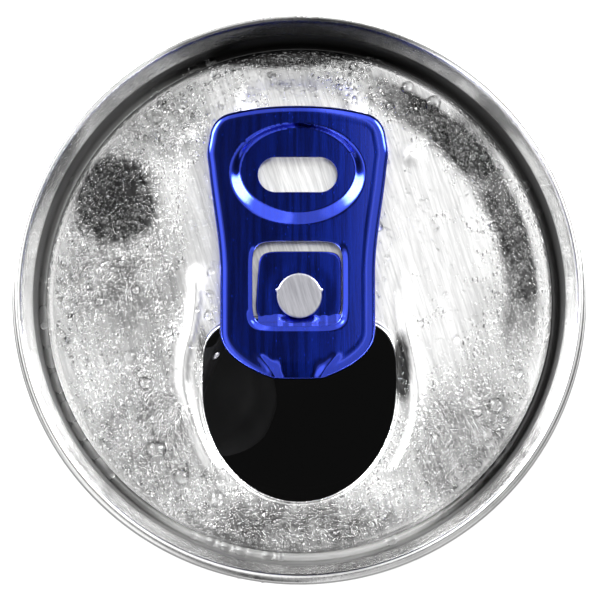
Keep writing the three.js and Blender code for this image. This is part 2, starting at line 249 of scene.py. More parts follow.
def put_mesh(name: str, points: np.ndarray, faces: np.ndarray, crease_deg: float = 35.0,
             weld: float = 1e-4) -> bpy.types.Object:
    """Make an object at the origin from arrays, welded, closed and with its faces pointing out.

    Args:
        name: the piece's name.
        points: rows of (x, y, z) in millimetres.
        faces: rows of vertex numbers, all of one length.
        crease_deg: edges that turn by more than this stay sharp.
        weld: vertices closer than this are joined, in millimetres; 0 leaves the mesh alone.

    Returns:
        The new object.
    """
    mesh = bpy.data.meshes.new(name)
    mesh.vertices.add(len(points))
    mesh.vertices.foreach_set("co", (np.asarray(points, float) * MM).astype(np.float32).ravel())
    count, sides = faces.shape
    mesh.loops.add(count * sides)
    mesh.loops.foreach_set("vertex_index", faces.astype(np.int32).ravel())
    mesh.polygons.add(count)
    mesh.polygons.foreach_set("loop_start", np.arange(0, count * sides, sides, dtype=np.int32))
    mesh.update(calc_edges=True)
    if weld:
        work = bmesh.new()
        work.from_mesh(mesh)
        bmesh.ops.remove_doubles(work, verts=work.verts, dist=weld * MM)
        bmesh.ops.dissolve_degenerate(work, dist=weld * MM / 10, edges=work.edges)
        bmesh.ops.recalc_face_normals(work, faces=work.faces)
        work.to_mesh(mesh)
        work.free()
    mesh.validate()
    mesh.shade_smooth()
    mesh.set_sharp_from_angle(angle=math.radians(crease_deg))
    piece = bpy.data.objects.new(name, mesh)
    bpy.context.scene.collection.objects.link(piece)
    return piece


def grid_mesh(name: str, grid: np.ndarray, crease_deg: float = 35.0, closed: bool = False,
              weld: float = 1e-4) -> bpy.types.Object:
    """Make an object from a grid of points whose rows are closed round.

    Args:
        name: the piece's name.
        grid: rows by columns by (x, y, z), in millimetres.
        crease_deg: edges that turn by more than this stay sharp.
        closed: whether the last row joins the first.
        weld: vertices closer than this are joined; 0 leaves the mesh alone.

    Returns:
        The new object.
    """
    quads = grid_quads(grid.shape[0], grid.shape[1], closed)
    return put_mesh(name, grid.reshape(-1, 3), quads, crease_deg, weld)


def turned(name: str, profile: np.ndarray, around: int, middle: tuple = (0.0, 0.0)) -> bpy.types.Object:
    """A solid of revolution: each profile point (r, z) goes round to (r cos a, r sin a, z).

    Args:
        name: the piece's name.
        profile: rows of (r, z), from the axis back to the axis.
        around: how many steps round.
        middle: x and y of the axis.

    Returns:
        The new object.
    """
    angle = round_steps(around)[None]
    radius, height = profile[:, :1], profile[:, 1:]
    return grid_mesh(name, np.stack([middle[0] + radius * np.cos(angle), middle[1] + radius * np.sin(angle),
                                     height + 0 * angle], axis=-1))


def vertices(piece: bpy.types.Object) -> np.ndarray:
    """A piece's vertices as rows of (x, y, z), in metres.

    Args:
        piece: the object.

    Returns:
        Its points.
    """
    points = np.empty(len(piece.data.vertices) * 3, np.float32)
    piece.data.vertices.foreach_get("co", points)
    return points.reshape(-1, 3)


def grain_map(piece: bpy.types.Object, turn_deg: float) -> None:
    """Give a piece a UV map whose first axis runs across a straight grain.

    u is the distance across the grain's direction and v the distance along it, both in plan.

    Args:
        piece: the object to map.
        turn_deg: the grain's direction, counter-clockwise from +X.
    """
    mesh = piece.data
    corners = np.empty(len(mesh.loops), np.int32)
    mesh.loops.foreach_get("vertex_index", corners)
    x, y = vertices(piece)[corners, :2].T
    turn = math.radians(turn_deg)
    u = -x * math.sin(turn) + y * math.cos(turn)
    v = x * math.cos(turn) + y * math.sin(turn)
    layer = mesh.uv_layers.new(name="grain")
    layer.data.foreach_set("uv", np.stack([u, v], axis=1).astype(np.float32).ravel())


def dress(piece: bpy.types.Object, material: bpy.types.Material, body: Body,
          nodes: tuple = ()) -> bpy.types.Object:
    """Finish a piece: its material, the body it rides on and the CAD nodes it stands for.

    Args:
        piece: the object.
        material: its finish.
        body: the body that it moves with.
        nodes: names of the CAD nodes that it replaces.

    Returns:
        The same object.
    """
    piece.data.materials.append(material)
    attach(piece, body.value)
    if nodes:
        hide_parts(*nodes)
    LOG.info("%s: %d faces on %s", piece.name, len(piece.data.polygons), body.value)
    return piece


# Finishes.


@dataclass(frozen=True)
class Ramp:
    """A smooth change along one measure of the can, in millimetres, from one value to another."""

    low_mm: float
    high_mm: float
    at_low: float = 0.0
    at_high: float = 1.0


class Shader:
    """A material or node group under construction, with short ways to add and join nodes."""

    def __init__(self, tree: bpy.types.NodeTree) -> None:
        """Work on one node tree."""
        self.tree = tree

    def add(self, kind: str, **settings: object) -> bpy.types.Node:
        """Add a node and set its properties.

        Args:
            kind: the node's type name after ShaderNode.
            settings: properties by name.

        Returns:
            The new node.
        """
        node = self.tree.nodes.new(f"ShaderNode{kind}")
        for key, value in settings.items():
            setattr(node, key, value)
        return node

    def feed(self, socket: bpy.types.NodeSocket, value: object) -> None:
        """Set an input to a value, or join it to an output.

        Args:
            socket: the input.
            value: an output socket, a number or a tuple.
        """
        if isinstance(value, bpy.types.NodeSocket):
            self.tree.links.new(value, socket)
        elif value is not None:
            socket.default_value = value

    def math(self, operation: str, a: object, b: object = None, clamp: bool = False) -> object:
        """One Math node.

        Args:
            operation: its operation.
            a: first input.
            b: second input, where it has one.
            clamp: whether the result is kept from 0 to 1.

        Returns:
            Its output.
        """
        node = self.add("Math", operation=operation, use_clamp=clamp)
        self.feed(node.inputs[0], a)
        self.feed(node.inputs[1], b)
        return node.outputs[0]

    def spread(self, value: object, low: float, high: float, to_low: float = 0.0,
               to_high: float = 1.0) -> object:
        """One Map Range node with a smooth step.

        Args:
            value: the input.
            low: input that gives to_low.
            high: input that gives to_high.
            to_low: lowest output.
            to_high: highest output.

        Returns:
            Its output.
        """
        node = self.add("MapRange", interpolation_type="SMOOTHSTEP")
        for socket, number in zip(node.inputs[:5], (value, low, high, to_low, to_high)):
            self.feed(socket, number)
        return node.outputs["Result"]

    def ramp(self, measure: object, ramp: Ramp) -> object:
        """A ramp over a measure in metres."""
        return self.spread(measure, ramp.low_mm * MM, ramp.high_mm * MM, ramp.at_low, ramp.at_high)

    def times(self, *factors: object) -> object:
        """The product of two or more factors.

        Args:
            factors: the values to multiply.

        Returns:
            The product's output.
        """
        product = factors[0]
        for factor in factors[1:]:
            product = self.math("MULTIPLY", product, factor)
        return product

    def mix(self, share: object, a: object, b: object) -> object:
        """One colour Mix node from a, at share 0, to b, at share 1.

        Args:
            share: 0 for a and 1 for b.
            a: first colour.
            b: second colour.

        Returns:
            Its output.
        """
        node = self.add("Mix", data_type="RGBA")
        for socket, value in zip((node.inputs["Factor"], node.inputs[6], node.inputs[7]), (share, a, b)):
            self.feed(socket, value)
        return node.outputs[2]

    def blend(self, share: object, a: object, b: object) -> object:
        """One number Mix node from a, at share 0, to b, at share 1.

        Args:
            share: 0 for a and 1 for b.
            a: first number.
            b: second number.

        Returns:
            Its output.
        """
        node = self.add("Mix", data_type="FLOAT")
        for socket, value in zip((node.inputs[0], node.inputs[2], node.inputs[3]), (share, a, b)):
            self.feed(socket, value)
        return node.outputs[0]

    def noise(self, vector: object, scale: float, detail: float = 2.0, rough: float = 0.5) -> object:
        """One Noise node's value.

        Args:
            vector: the coordinates.
            scale: its scale.
            detail: its detail.
            rough: its roughness.

        Returns:
            Its output.
        """
        node = self.add("TexNoise")
        for key, value in (("Vector", vector), ("Scale", scale), ("Detail", detail), ("Roughness", rough)):
            self.feed(node.inputs[key], value)
        return node.outputs["Fac"]

    def place(self, vector: object, turn_deg: float, scale: tuple) -> object:
        """One Mapping node that turns a pattern about Z and then stretches it.

        Args:
            vector: the coordinates.
            turn_deg: the turn about Z.
            scale: the stretch along each axis.

        Returns:
            The coordinates of the pattern.
        """
        turn = self.add("Mapping", vector_type="POINT")
        self.feed(turn.inputs["Vector"], vector)
        turn.inputs["Rotation"].default_value = (0, 0, math.radians(turn_deg))
        stretch = self.add("Mapping", vector_type="POINT")
        self.feed(stretch.inputs["Vector"], turn.outputs["Vector"])
        stretch.inputs["Scale"].default_value = scale
        return stretch.outputs["Vector"]

    def group(self, name: str, **values: object) -> bpy.types.Node:
        """Place a node group and set its inputs, named with underscores for spaces.

        Args:
            name: the group's name.
            values: inputs by name.

        Returns:
            The group node.
        """
        node = self.add("Group", node_tree=bpy.data.node_groups[name])
        for key, value in values.items():
            self.feed(node.inputs[key.replace("_", " ")], value)
        return node

    def relief(self, height: object, strength: float, depth_mm: float, under: object = None) -> object:
        """One Bump node: depth in millimetres for a height of 1.

        Args:
            height: the height's output.
            strength: how much of it shows.
            depth_mm: its depth.
            under: another normal that it lies on.

        Returns:
            The normal.
        """
        node = self.add("Bump")
        self.feed(node.inputs["Height"], height)
        self.feed(node.inputs["Strength"], strength)
        self.feed(node.inputs["Distance"], depth_mm * MM)
        self.feed(node.inputs["Normal"], under)
        return node.outputs["Normal"]


def new_group(name: str, inputs: dict, outputs: dict) -> tuple[Shader, dict, bpy.types.Node]:
    """Start a shader node group.

    Args:
        name: its name.
        inputs: socket type and default by input name.
        outputs: socket type by output name.

    Returns:
        Its shader, its inputs by name, and its output node.
    """
    tree = bpy.data.node_groups.new(name, "ShaderNodeTree")
    for key, (kind, default) in inputs.items():
        socket = tree.interface.new_socket(key, in_out="INPUT", socket_type=f"NodeSocket{kind}")
        if default is not None:
            socket.default_value = default
    for key, kind in outputs.items():
        tree.interface.new_socket(key, in_out="OUTPUT", socket_type=f"NodeSocket{kind}")
    shader = Shader(tree)
    start = tree.nodes.new("NodeGroupInput")
    end = tree.nodes.new("NodeGroupOutput")
    return shader, {key: start.outputs[key] for key in inputs}, end


@dataclass(frozen=True)
class RolledGrain:
    """The group of fine parallel streaks that rolling leaves: noise stretched along one direction."""

    name: str = "rolled grain"
    fine_share: float = 0.65
    broad_share: float = 0.35
    broad_scale: float = 0.23
    middle: tuple = (0.3, 0.7)

    def make(self) -> None:
        """Build the group: fine and broad noise are summed by their shares and spread out."""
        g, given, end = new_group(self.name, {"Vector": ("Vector", None)},
                                  {"Streak": "Float", "Patch": "Float"})
        fine = g.times(g.noise(given["Vector"], 1.0, 3.0, 0.6), self.fine_share)
        broad = g.noise(given["Vector"], self.broad_scale, 2.0, 0.5)
        both = g.math("ADD", fine, g.times(broad, self.broad_share))
        g.feed(end.inputs["Streak"], g.spread(both, *self.middle))
        g.feed(end.inputs["Patch"], g.spread(broad, *self.middle))


@dataclass(frozen=True)
class Mist:
    """The group of breath-fine droplets, in two sizes with bare patches between."""

    name: str = "mist"
    sizes: tuple = (1.0, 1.9)
    least_reach: float = 0.24
    more_reach: float = 0.3
    patch_scale: float = 260.0
    patch_edge: tuple = (0.42, 0.6)
    drop_edge: float = 0.12

    def make(self) -> None:
        """Build the group.

        Each droplet is a cap r (1 - (d / r)^2) at d from its cell's point, its reach r drawn by
        the cell; where the patches' noise and the cover fall short, there is none.
        """
        g, given, end = new_group(
            self.name,
            {"Vector": ("Vector", None), "Scale": ("Float", 2200.0), "Cover": ("Float", 0.5)},
            {"Height": "Float", "Drop": "Float"},
        )
        total: object = 0.0
        for finer in self.sizes:
            cells = g.add("TexVoronoi", feature="F1", voronoi_dimensions="3D")
            g.feed(cells.inputs["Vector"], given["Vector"])
            g.feed(cells.inputs["Scale"], g.times(given["Scale"], finer))
            parts = g.add("SeparateColor")
            g.feed(parts.inputs[0], cells.outputs["Color"])
            reach = g.math("ADD", self.least_reach, g.times(parts.outputs[0], self.more_reach))
            share = g.math("DIVIDE", cells.outputs["Distance"], reach)
            cap = g.math("SUBTRACT", 1.0, g.times(share, share), clamp=True)
            total = g.math("MAXIMUM", total, g.times(cap, g.math("DIVIDE", reach, finer)))
        patches = g.noise(given["Vector"], self.patch_scale, 2.0)
        wet = g.spread(g.math("ADD", patches, g.math("SUBTRACT", given["Cover"], 0.5)), *self.patch_edge)
        height = g.times(total, wet)
        g.feed(end.inputs["Height"], height)
        g.feed(end.inputs["Drop"], g.spread(height, 0.0, self.drop_edge))


def start_material(name: str, **constants: object) -> tuple[Shader, bpy.types.Node, object]:
    """Start a material and set the constants straight on its Principled node's sockets.

    Args:
        name: its name.
        constants: values by socket name, with underscores for spaces.

    Returns:
        Its shader, its Principled node and its Object coordinates.
    """
    material = bpy.data.materials.new(name)
    material.use_nodes = True
    shader = Shader(material.node_tree)
    surface = material.node_tree.nodes["Principled BSDF"]
    for key, value in constants.items():
        surface.inputs[key.replace("_", " ")].default_value = value
    return shader, surface, shader.add("TexCoord").outputs["Object"]


@dataclass(frozen=True)
class Oval:
    """A place on the panel as an oval in millimetres, with soft edges."""

    x: float
    y: float
    half_x: float
    half_y: float
    strength: float


@dataclass(frozen=True)
class RolledAluminium:
    """Bare rolled sheet: straight grain; wet places that are smoother, misted and painted darker, partly as
    painted shade; painted shade and light in the groove and on the seam; a painted highlight on each mist
    droplet.
    """

    name: str
    light: tuple = (0.93, 0.93, 0.925, 1.0)
    dark: tuple = (0.62, 0.62, 0.62, 1.0)
    # Dark tones of the wet places: partly wet metal, partly painted shade.
    soaked_and_shaded: tuple = (0.02, 0.12)
    shade: tuple = (0.05, 0.05, 0.05, 1.0)
    # How far each mist droplet is painted lighter: a painted highlight.
    drop_painted_highlight: float = 0.15
    rough_dry: float = 0.31
    rough_wet: float = 0.22
    rough_drop: float = 0.16
    rough_wall: float = 0.22
    rough_groove: float = 0.42
    panel_edge: Ramp = Ramp(22.0, 22.5)
    # Painted light and shade in the groove: lighter towards the front and left, darker towards the right, the
    # back and the outer wall.
    groove_depth: Ramp = Ramp(130.95, 131.35, 1.0, 0.0)
    groove_start: Ramp = Ramp(22.92, 23.0)
    groove_light_across: Ramp = Ramp(-12.0, 12.0, 0.64, 0.22)
    groove_light_front: Ramp = Ramp(-22.0, -14.0, 1.0, 0.0)
    groove_back: Ramp = Ramp(18.5, 22.8, 1.0, 0.12)
    groove_light_wall: Ramp = Ramp(23.6, 23.85, 1.0, 0.17)
    # Painted shade: a dark line along the seam's outer edge at the front.
    edge_shade_start: Ramp = Ramp(25.18, 25.32)
    edge_shade_front: Ramp = Ramp(-4.0, 8.0, 0.8, 0.0)
    # Painted shade on the seam's far wall, at the back.
    far_shade_back: Ramp = Ramp(19.2, 23.6, 0.0, 0.93)
    far_shade_start: Ramp = Ramp(23.5, 23.9)
    far_shade_end: Ramp = Ramp(24.7, 24.9, 1.0, 0.0)
    # Painted shade on the seam's band, towards the front.
    band_shade_start: Ramp = Ramp(24.1, 24.4)
    band_shade_front: Ramp = Ramp(-8.0, 2.0, 0.42, 0.0)
    lip_start: Ramp = Ramp(24.2, 24.6)
    lip_back: Ramp = Ramp(4.0, 16.0, 1.0, 0.55)
    crown_start: Ramp = Ramp(24.9, 25.2)
    anisotropic: float = 0.6
    grain_deg: float = -72.5
    grain_strength: float = 0.6
    grain_depth_mm: float = 0.0035
    across_per_m: float = 5600.0
    along_per_m: float = 420.0
    mist_depth_mm: float = 0.085
    mist_cover: float = 0.54
    mist_more_wet: float = 0.3
    mist_per_m: float = 2200.0
    cloud_per_m: float = 420.0
    cloud_spread: tuple = (0.3, 0.7, 0.7, 1.15)
    soft_edge: tuple = (0.35, 1.3)
    # A wet crescent at the right and back of the panel, also painted darker as painted shade.
    crescent_start: Ramp = Ramp(18.1, 19.3)
    crescent_end: Ramp = Ramp(21.3, 21.9, 1.0, 0.0)
    crescent_deg: tuple = (-22.0, 4.0, 58.0, 82.0)
    # Wet ovals, also painted darker in colour as painted shade.
    patches: tuple = (
        Oval(-16.6, 9.2, 3.7, 4.1, 1.8),
        Oval(-18.5, 3.0, 3.6, 9.0, 0.43),
        Oval(-13.0, 16.0, 6.0, 4.0, 0.45),
        Oval(-13.5, 0.5, 4.5, 9.0, 0.46),
        Oval(-2.0, 22.2, 9.5, 1.2, 1.2),
        Oval(-12.5, -13.0, 7.0, 7.0, 0.48),
        Oval(9.25, -6.2, 0.95, 3.2, 1.6),
        Oval(-8.75, -4.1, 0.6, 1.9, 0.9),
        Oval(0.0, -21.0, 12.0, 3.8, 0.76),
        Oval(15.0, -13.5, 6.5, 7.5, 0.56),
        Oval(15.8, 14.8, 3.4, 3.0, 0.7),
        Oval(17.5, -3.0, 3.0, 6.0, 0.25),
    )
    bare: tuple = (
        Oval(-0.15, 5.5, 10.0, 15.0, 0.6),
        Oval(11.8, 4.5, 6.5, 12.0, 0.16),
        Oval(-12.5, -2.0, 3.5, 7.0, 0.1),
        Oval(-9.5, 0.6, 1.0, 4.4, 0.5),
        Oval(-10.5, -6.4, 1.1, 3.4, 0.5),
        Oval(-8.9, -12.4, 1.5, 4.2, 0.5),
        Oval(9.6, -5.6, 1.2, 5.4, 0.5),
        Oval(-16.6, 9.2, 2.8, 3.4, 0.45),
        Oval(12.2, 17.9, 1.0, 1.0, 0.6),
        Oval(9.9, 19.4, 0.8, 0.8, 0.6),
        Oval(-12.9, -13.7, 1.1, 1.1, 0.6),
        Oval(-10.6, -16.1, 0.95, 0.95, 0.6),
        Oval(-7.4, -18.1, 1.0, 1.0, 0.6),
        Oval(17.8, -9.7, 1.0, 1.0, 0.6),
        Oval(-13.9, -7.7, 0.8, 0.8, 0.6),
        Oval(-15.4, -5.2, 0.75, 0.75, 0.6),
        Oval(-13.0, 16.5, 0.7, 0.7, 0.6),
    )

    def ovals(self, s: Shader, where: object, places: tuple) -> object:
        """The sum of soft ovals over the plan.

        Args:
            s: the material's shader.
            where: its Object coordinates.
            places: the ovals.

        Returns:
            The sum.
        """
        total: object = 0.0
        for place in places:
            away = s.add("VectorMath", operation="SUBTRACT")
            s.feed(away.inputs[0], where)
            away.inputs[1].default_value = (place.x * MM, place.y * MM, 0)
            shrunk = s.add("VectorMath", operation="MULTIPLY")
            s.feed(shrunk.inputs[0], away.outputs[0])
            shrunk.inputs[1].default_value = (1 / (place.half_x * MM), 1 / (place.half_y * MM), 0)
            length = s.add("VectorMath", operation="LENGTH")
            s.feed(length.inputs[0], shrunk.outputs[0])
            oval = s.spread(length.outputs["Value"], *self.soft_edge, place.strength, 0.0)
            total = s.math("ADD", total, oval)
        return total

    def wet(self, s: Shader, where: object, radius: object, angle: object) -> object:
        """The wet share, which also carries painted shade: a crescent inside the panel's edge plus the oval
        patches.

        Args:
            s: the material's shader.
            where: its Object coordinates.
            radius: distance from the can's axis.
            angle: angle round the axis.

        Returns:
            The share, from 0 to 1.
        """
        a, b, c, d = (math.radians(value) for value in self.crescent_deg)
        ring = s.times(s.ramp(radius, self.crescent_start), s.ramp(radius, self.crescent_end))
        arc = s.times(s.spread(angle, a, b), s.spread(angle, c, d, 1.0, 0.0))
        total = s.math("ADD", s.times(ring, arc), self.ovals(s, where, self.patches))
        cloud = s.spread(s.noise(where, self.cloud_per_m, 3.0), *self.cloud_spread)
        return s.math("MULTIPLY", total, cloud, clamp=True)

    def shaded(self, s: Shader, sheet: object, sunk: object, x: object, y: object, radius: object) -> object:
        """The sheet's colour with painted shade and light: the groove painted lighter to the front and left
        and darker to the right, the back and its outer wall, and painted shade on the seam's band at the
        front, on its far wall at the back and along its outer edge at the front.

        Args:
            s: the material's shader.
            sheet: the open sheet's colour.
            sunk: the groove's share.
            x: distance to the right.
            y: distance to the back.
            radius: distance from the can's axis.

        Returns:
            The colour.
        """
        side = s.math("MAXIMUM", s.ramp(x, self.groove_light_across), s.ramp(y, self.groove_light_front))
        groove = s.times(side, s.ramp(y, self.groove_back), s.ramp(radius, self.groove_light_wall))
        band = s.times(s.ramp(radius, self.band_shade_start), s.ramp(y, self.band_shade_front))
        edge = s.times(s.ramp(radius, self.edge_shade_start), s.ramp(y, self.edge_shade_front))
        far = s.times(s.ramp(radius, self.far_shade_start), s.ramp(radius, self.far_shade_end), s.ramp(y, self.far_shade_back))
        # Painted shade on the band, and the groove painted from shade to light.
        toned = s.mix(sunk, s.mix(band, sheet, self.shade), s.mix(groove, self.shade, self.light))
        return s.mix(s.math("MAXIMUM", far, edge), toned, self.shade)

    def make(self) -> bpy.types.Material:
        """Build the material.

        Returns:
            The new material.
        """
        s, surface, where = start_material(self.name, Metallic=1.0, Anisotropic=self.anisotropic)
        lay = s.place(where, -self.grain_deg, (self.along_per_m, self.across_per_m, self.along_per_m))
        streak = s.group("rolled grain", Vector=lay).outputs["Streak"]
        split = s.add("SeparateXYZ")
        s.feed(split.inputs[0], where)
        x, y, z = (split.outputs[axis] for axis in "XYZ")
        radius = s.math("SQRT", s.math("ADD", s.times(x, x), s.times(y, y)))
        wet = self.wet(s, where, radius, s.math("ARCTAN2", y, x))
        cover = s.math("ADD", self.mist_cover, s.times(wet, self.mist_more_wet))
        cover = s.math("SUBTRACT", cover, self.ovals(s, where, self.bare))
        mist = s.group("mist", Vector=where, Scale=self.mist_per_m, Cover=cover)
        beyond = s.ramp(radius, self.panel_edge)
        dry = s.mix(s.math("MAXIMUM", streak, beyond), self.dark, self.light)
        # Wet places darken towards the soaked tones, partly as painted shade; mist droplets get a painted
        # highlight.
        deep = s.mix(streak, *((tone, tone, tone, 1.0) for tone in self.soaked_and_shaded))
        sheet = s.mix(s.times(mist.outputs["Drop"], self.drop_painted_highlight), s.mix(wet, dry, deep), self.light)
        # The groove, the seam's band and its walls get painted shade and light in place of the sheet's own
        # colour.
        sunk = s.times(s.ramp(z, self.groove_depth), s.ramp(radius, self.groove_start))
        s.feed(surface.inputs["Base Color"], self.shaded(s, sheet, sunk, x, y, radius))
        wall = s.blend(beyond, s.blend(wet, self.rough_dry, self.rough_wet), self.rough_wall)
        misted = s.blend(mist.outputs["Drop"], wall, self.rough_drop)
        s.feed(surface.inputs["Roughness"], s.blend(sunk, misted, self.rough_groove))
        tangent = s.add("Tangent", direction_type="UV_MAP", uv_map="grain")
        s.feed(surface.inputs["Tangent"], tangent.outputs[0])
        rolled = s.relief(streak, self.grain_strength, self.grain_depth_mm)
        lip = s.times(s.ramp(radius, self.lip_start), s.ramp(y, self.lip_back))
        smooth = s.math("MAXIMUM", sunk, s.math("MAXIMUM", lip, s.ramp(radius, self.crown_start)))
        depth = s.times(mist.outputs["Height"], s.math("SUBTRACT", 1.0, smooth))
        s.feed(surface.inputs["Normal"], s.relief(depth, 1.0, self.mist_depth_mm, rolled))
        return bpy.data.materials[self.name]


@dataclass(frozen=True)
class DrawnAluminium:
    """The wall of a drawn and ironed body: bright, with fine upright draw lines."""

    name: str
    light: tuple = (0.37, 0.375, 0.385, 1.0)
    dark: tuple = (0.24, 0.244, 0.25, 1.0)
    rough: tuple = (0.17, 0.27)
    across_per_m: float = 3800.0
    along_per_m: float = 90.0
    haze_per_m: float = 70.0
    haze_middle: tuple = (0.3, 0.7)
    anisotropic: float = 0.35
    line_strength: float = 0.5
    line_depth_mm: float = 0.006

    def make(self) -> bpy.types.Material:
        """Build the material.

        Returns:
            The new material.
        """
        s, surface, where = start_material(self.name, Metallic=1.0, Anisotropic=self.anisotropic)
        lay = s.place(where, 0, (self.across_per_m, self.across_per_m, self.along_per_m))
        streak = s.group("rolled grain", Vector=lay).outputs["Streak"]
        haze = s.noise(where, self.haze_per_m, 4.0, 0.6)
        s.feed(surface.inputs["Base Color"], s.mix(streak, self.dark, self.light))
        s.feed(surface.inputs["Roughness"], s.spread(haze, *self.haze_middle, *self.rough))
        s.feed(surface.inputs["Normal"], s.relief(streak, self.line_strength, self.line_depth_mm))
        return bpy.data.materials[self.name]


@dataclass(frozen=True)
class BlueLacquer:
    """Clear blue lacquer over bright aluminium, with the sheet's grain and small flecks in it."""

    name: str
    deep: tuple = (0.007, 0.026, 0.38, 1.0)
    bright: tuple = (0.01, 0.038, 0.48, 1.0)
    tone: tuple = (0.2, 0.5)
    rough: tuple = (0.1, 0.15)
    coat: float = 0.38
    coat_ior: float = 1.7
    coat_rough: float = 0.07
    across_per_m: float = 9000.0
    along_per_m: float = 500.0
    grain_relief: tuple = (0.2, 0.003)
    fleck_per_m: float = 1500.0
    fleck_edge: tuple = (0.16, 0.04)
    fleck_relief: tuple = (0.3, 0.01)

    def make(self) -> bpy.types.Material:
        """Build the material.

        Returns:
            The new material.
        """
        s, surface, where = start_material(self.name, Metallic=1.0, Coat_Weight=self.coat,
                                           Coat_Roughness=self.coat_rough, Coat_IOR=self.coat_ior)
        lay = s.place(where, -90, (self.along_per_m, self.across_per_m, self.along_per_m))
        grain = s.group("rolled grain", Vector=lay)
        flecks = s.add("TexVoronoi", feature="F1")
        s.feed(flecks.inputs["Vector"], where)
        flecks.inputs["Scale"].default_value = self.fleck_per_m
        fleck = s.spread(flecks.outputs["Distance"], *self.fleck_edge)
        least, more = self.tone
        tone = s.math("ADD", s.times(grain.outputs["Streak"], more), least)
        s.feed(surface.inputs["Base Color"], s.mix(tone, self.deep, self.bright))
        s.feed(surface.inputs["Roughness"], s.spread(grain.outputs["Patch"], 0, 1, *self.rough))
        sheet = s.relief(grain.outputs["Streak"], *self.grain_relief)
        s.feed(surface.inputs["Normal"], s.relief(fleck, *self.fleck_relief, sheet))
        return bpy.data.materials[self.name]


@dataclass(frozen=True)
class PaintedShadeInside:
    """The lacquered inside, painted near black as painted shade rather than the lacquer's colour, with a
    faint painted glow.
    """

    name: str
    # Near black: painted shade, not the lacquer's own colour.
    colour: tuple = (0.009, 0.009, 0.0095, 1.0)
    worn: tuple = (0.02, 0.02, 0.021, 1.0)
    # A faint painted glow that lifts the shade.
    painted_glow: float = 0.0042
    specular: float = 0.12
    cloud_per_m: float = 160.0
    worn_edge: tuple = (0.35, 0.7)
    rough_spread: tuple = (0.3, 0.7, 0.28, 0.42)
    cloud_relief: tuple = (0.3, 0.03)

    def make(self) -> bpy.types.Material:
        """Build the material.

        Returns:
            The new material.
        """
        s, surface, where = start_material(self.name, Specular_IOR_Level=self.specular, Emission_Color=WHITE,
                                           Emission_Strength=self.painted_glow)
        cloud = s.noise(where, self.cloud_per_m, 3.0)
        s.feed(surface.inputs["Base Color"], s.mix(s.spread(cloud, *self.worn_edge), self.colour, self.worn))
        s.feed(surface.inputs["Roughness"], s.spread(cloud, *self.rough_spread))
        s.feed(surface.inputs["Normal"], s.relief(cloud, *self.cloud_relief))
        return bpy.data.materials[self.name]


@dataclass(frozen=True)
class Water:
    """Clear water in drops."""

    name: str
    ior: float = 1.4
    ripple_per_m: float = 900.0
    rough_spread: tuple = (0.3, 0.7, 0.03, 0.08)

    def make(self) -> bpy.types.Material:
        """Build the material.

        Returns:
            The new material.
        """
        s, surface, where = start_material(self.name, Base_Color=WHITE, Transmission_Weight=1.0, IOR=self.ior)
        ripple = s.noise(where, self.ripple_per_m, 1.0)
        s.feed(surface.inputs["Roughness"], s.spread(ripple, *self.rough_spread))
        return bpy.data.materials[self.name]


@dataclass(frozen=True)
class PaleFloor:
    """A plain pale floor, its tone barely uneven."""

    name: str
    colour: tuple = (0.52, 0.52, 0.52, 1.0)
    uneven: float = 0.985
    cloud_per_m: float = 3.0
    rough: float = 0.8
    glow: float = 0.06

    def make(self) -> bpy.types.Material:
        """Build the material.

        Returns:
            The new material.
        """
        s, surface, where = start_material(self.name, Roughness=self.rough, Emission_Color=WHITE,
                                           Emission_Strength=self.glow)
        darker = tuple(self.uneven * c for c in self.colour[:3]) + (1.0,)
        cloud = s.noise(where, self.cloud_per_m, 2.0)
        s.feed(surface.inputs["Base Color"], s.mix(cloud, self.colour, darker))
        return bpy.data.materials[self.name]


@dataclass
class Finishes:
    """Every finish, built once."""

    end: bpy.types.Material = field(init=False)
    rivet: bpy.types.Material = field(init=False)
    body: bpy.types.Material = field(init=False)
    inside: bpy.types.Material = field(init=False)
    tab: bpy.types.Material = field(init=False)
    water: bpy.types.Material = field(init=False)
    floor: bpy.types.Material = field(init=False)

    def __post_init__(self) -> None:
        """Build the shared groups first, then the materials that place them."""
        RolledGrain().make()
        Mist().make()
        self.end = RolledAluminium("rolled end").make()
        self.rivet = RolledAluminium(
            "rolled rivet", dark=(0.33, 0.33, 0.36, 1.0), light=(0.5, 0.5, 0.54, 1.0), rough_dry=0.3,
            mist_depth_mm=0.005, mist_cover=0.0, patches=(), bare=(),
        ).make()
        self.body = DrawnAluminium("drawn body").make()
        self.inside = PaintedShadeInside("dark inside").make()
        self.tab = BlueLacquer("blue lacquer").make()
        self.water = Water("clear water").make()
        self.floor = PaleFloor("pale floor").make()


# The can.


@dataclass(frozen=True)
class Bell:
    """A bell-shaped rise over a distance: its height times e to the power of -((d - place) / width)^2."""

    height: float
    place: float
    width: float

    def over(self, distance: np.ndarray) -> np.ndarray:
        """The rise at each distance."""
        return self.height * bump(distance - self.place, self.width)


@dataclass(frozen=True)
class Bead:
    """One bead beside the mouth: its line, the share over which it rises, and its soft skirt's height."""

    line: tuple
    rise: float
    skirt: float


@dataclass
class Levels:
    """The heights and reaches that the frame gives, in millimetres."""

    rim_z: float
    seam_radius: float
    body_radius: float
    tab_low: float
    tab_high: float
    heel_y: float
    nose_y: float
    tab_x: float
    tongue_z: float
    panel_depth: float = 4.5

    @property
    def panel_z(self) -> float:
        """The flat panel's height."""
        return self.rim_z - self.panel_depth

    @classmethod
    def from_frame(cls) -> "Levels":
        """Read them from the CAD nodes' boxes."""
        end, body, tab, tongue = (
            np.array(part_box(node)) / MM for node in ("can_end", "can_body", "pull_tab", "tab_tongue")
        )
        return cls(
            rim_z=end[1, 2], seam_radius=end[1, 0], body_radius=body[1, 0],
            tab_low=tab[0, 2], tab_high=tab[1, 2], heel_y=tab[1, 1], nose_y=tab[0, 1],
            tab_x=(tab[0, 0] + tab[1, 0]) / 2, tongue_z=tongue[0, 2],
        )


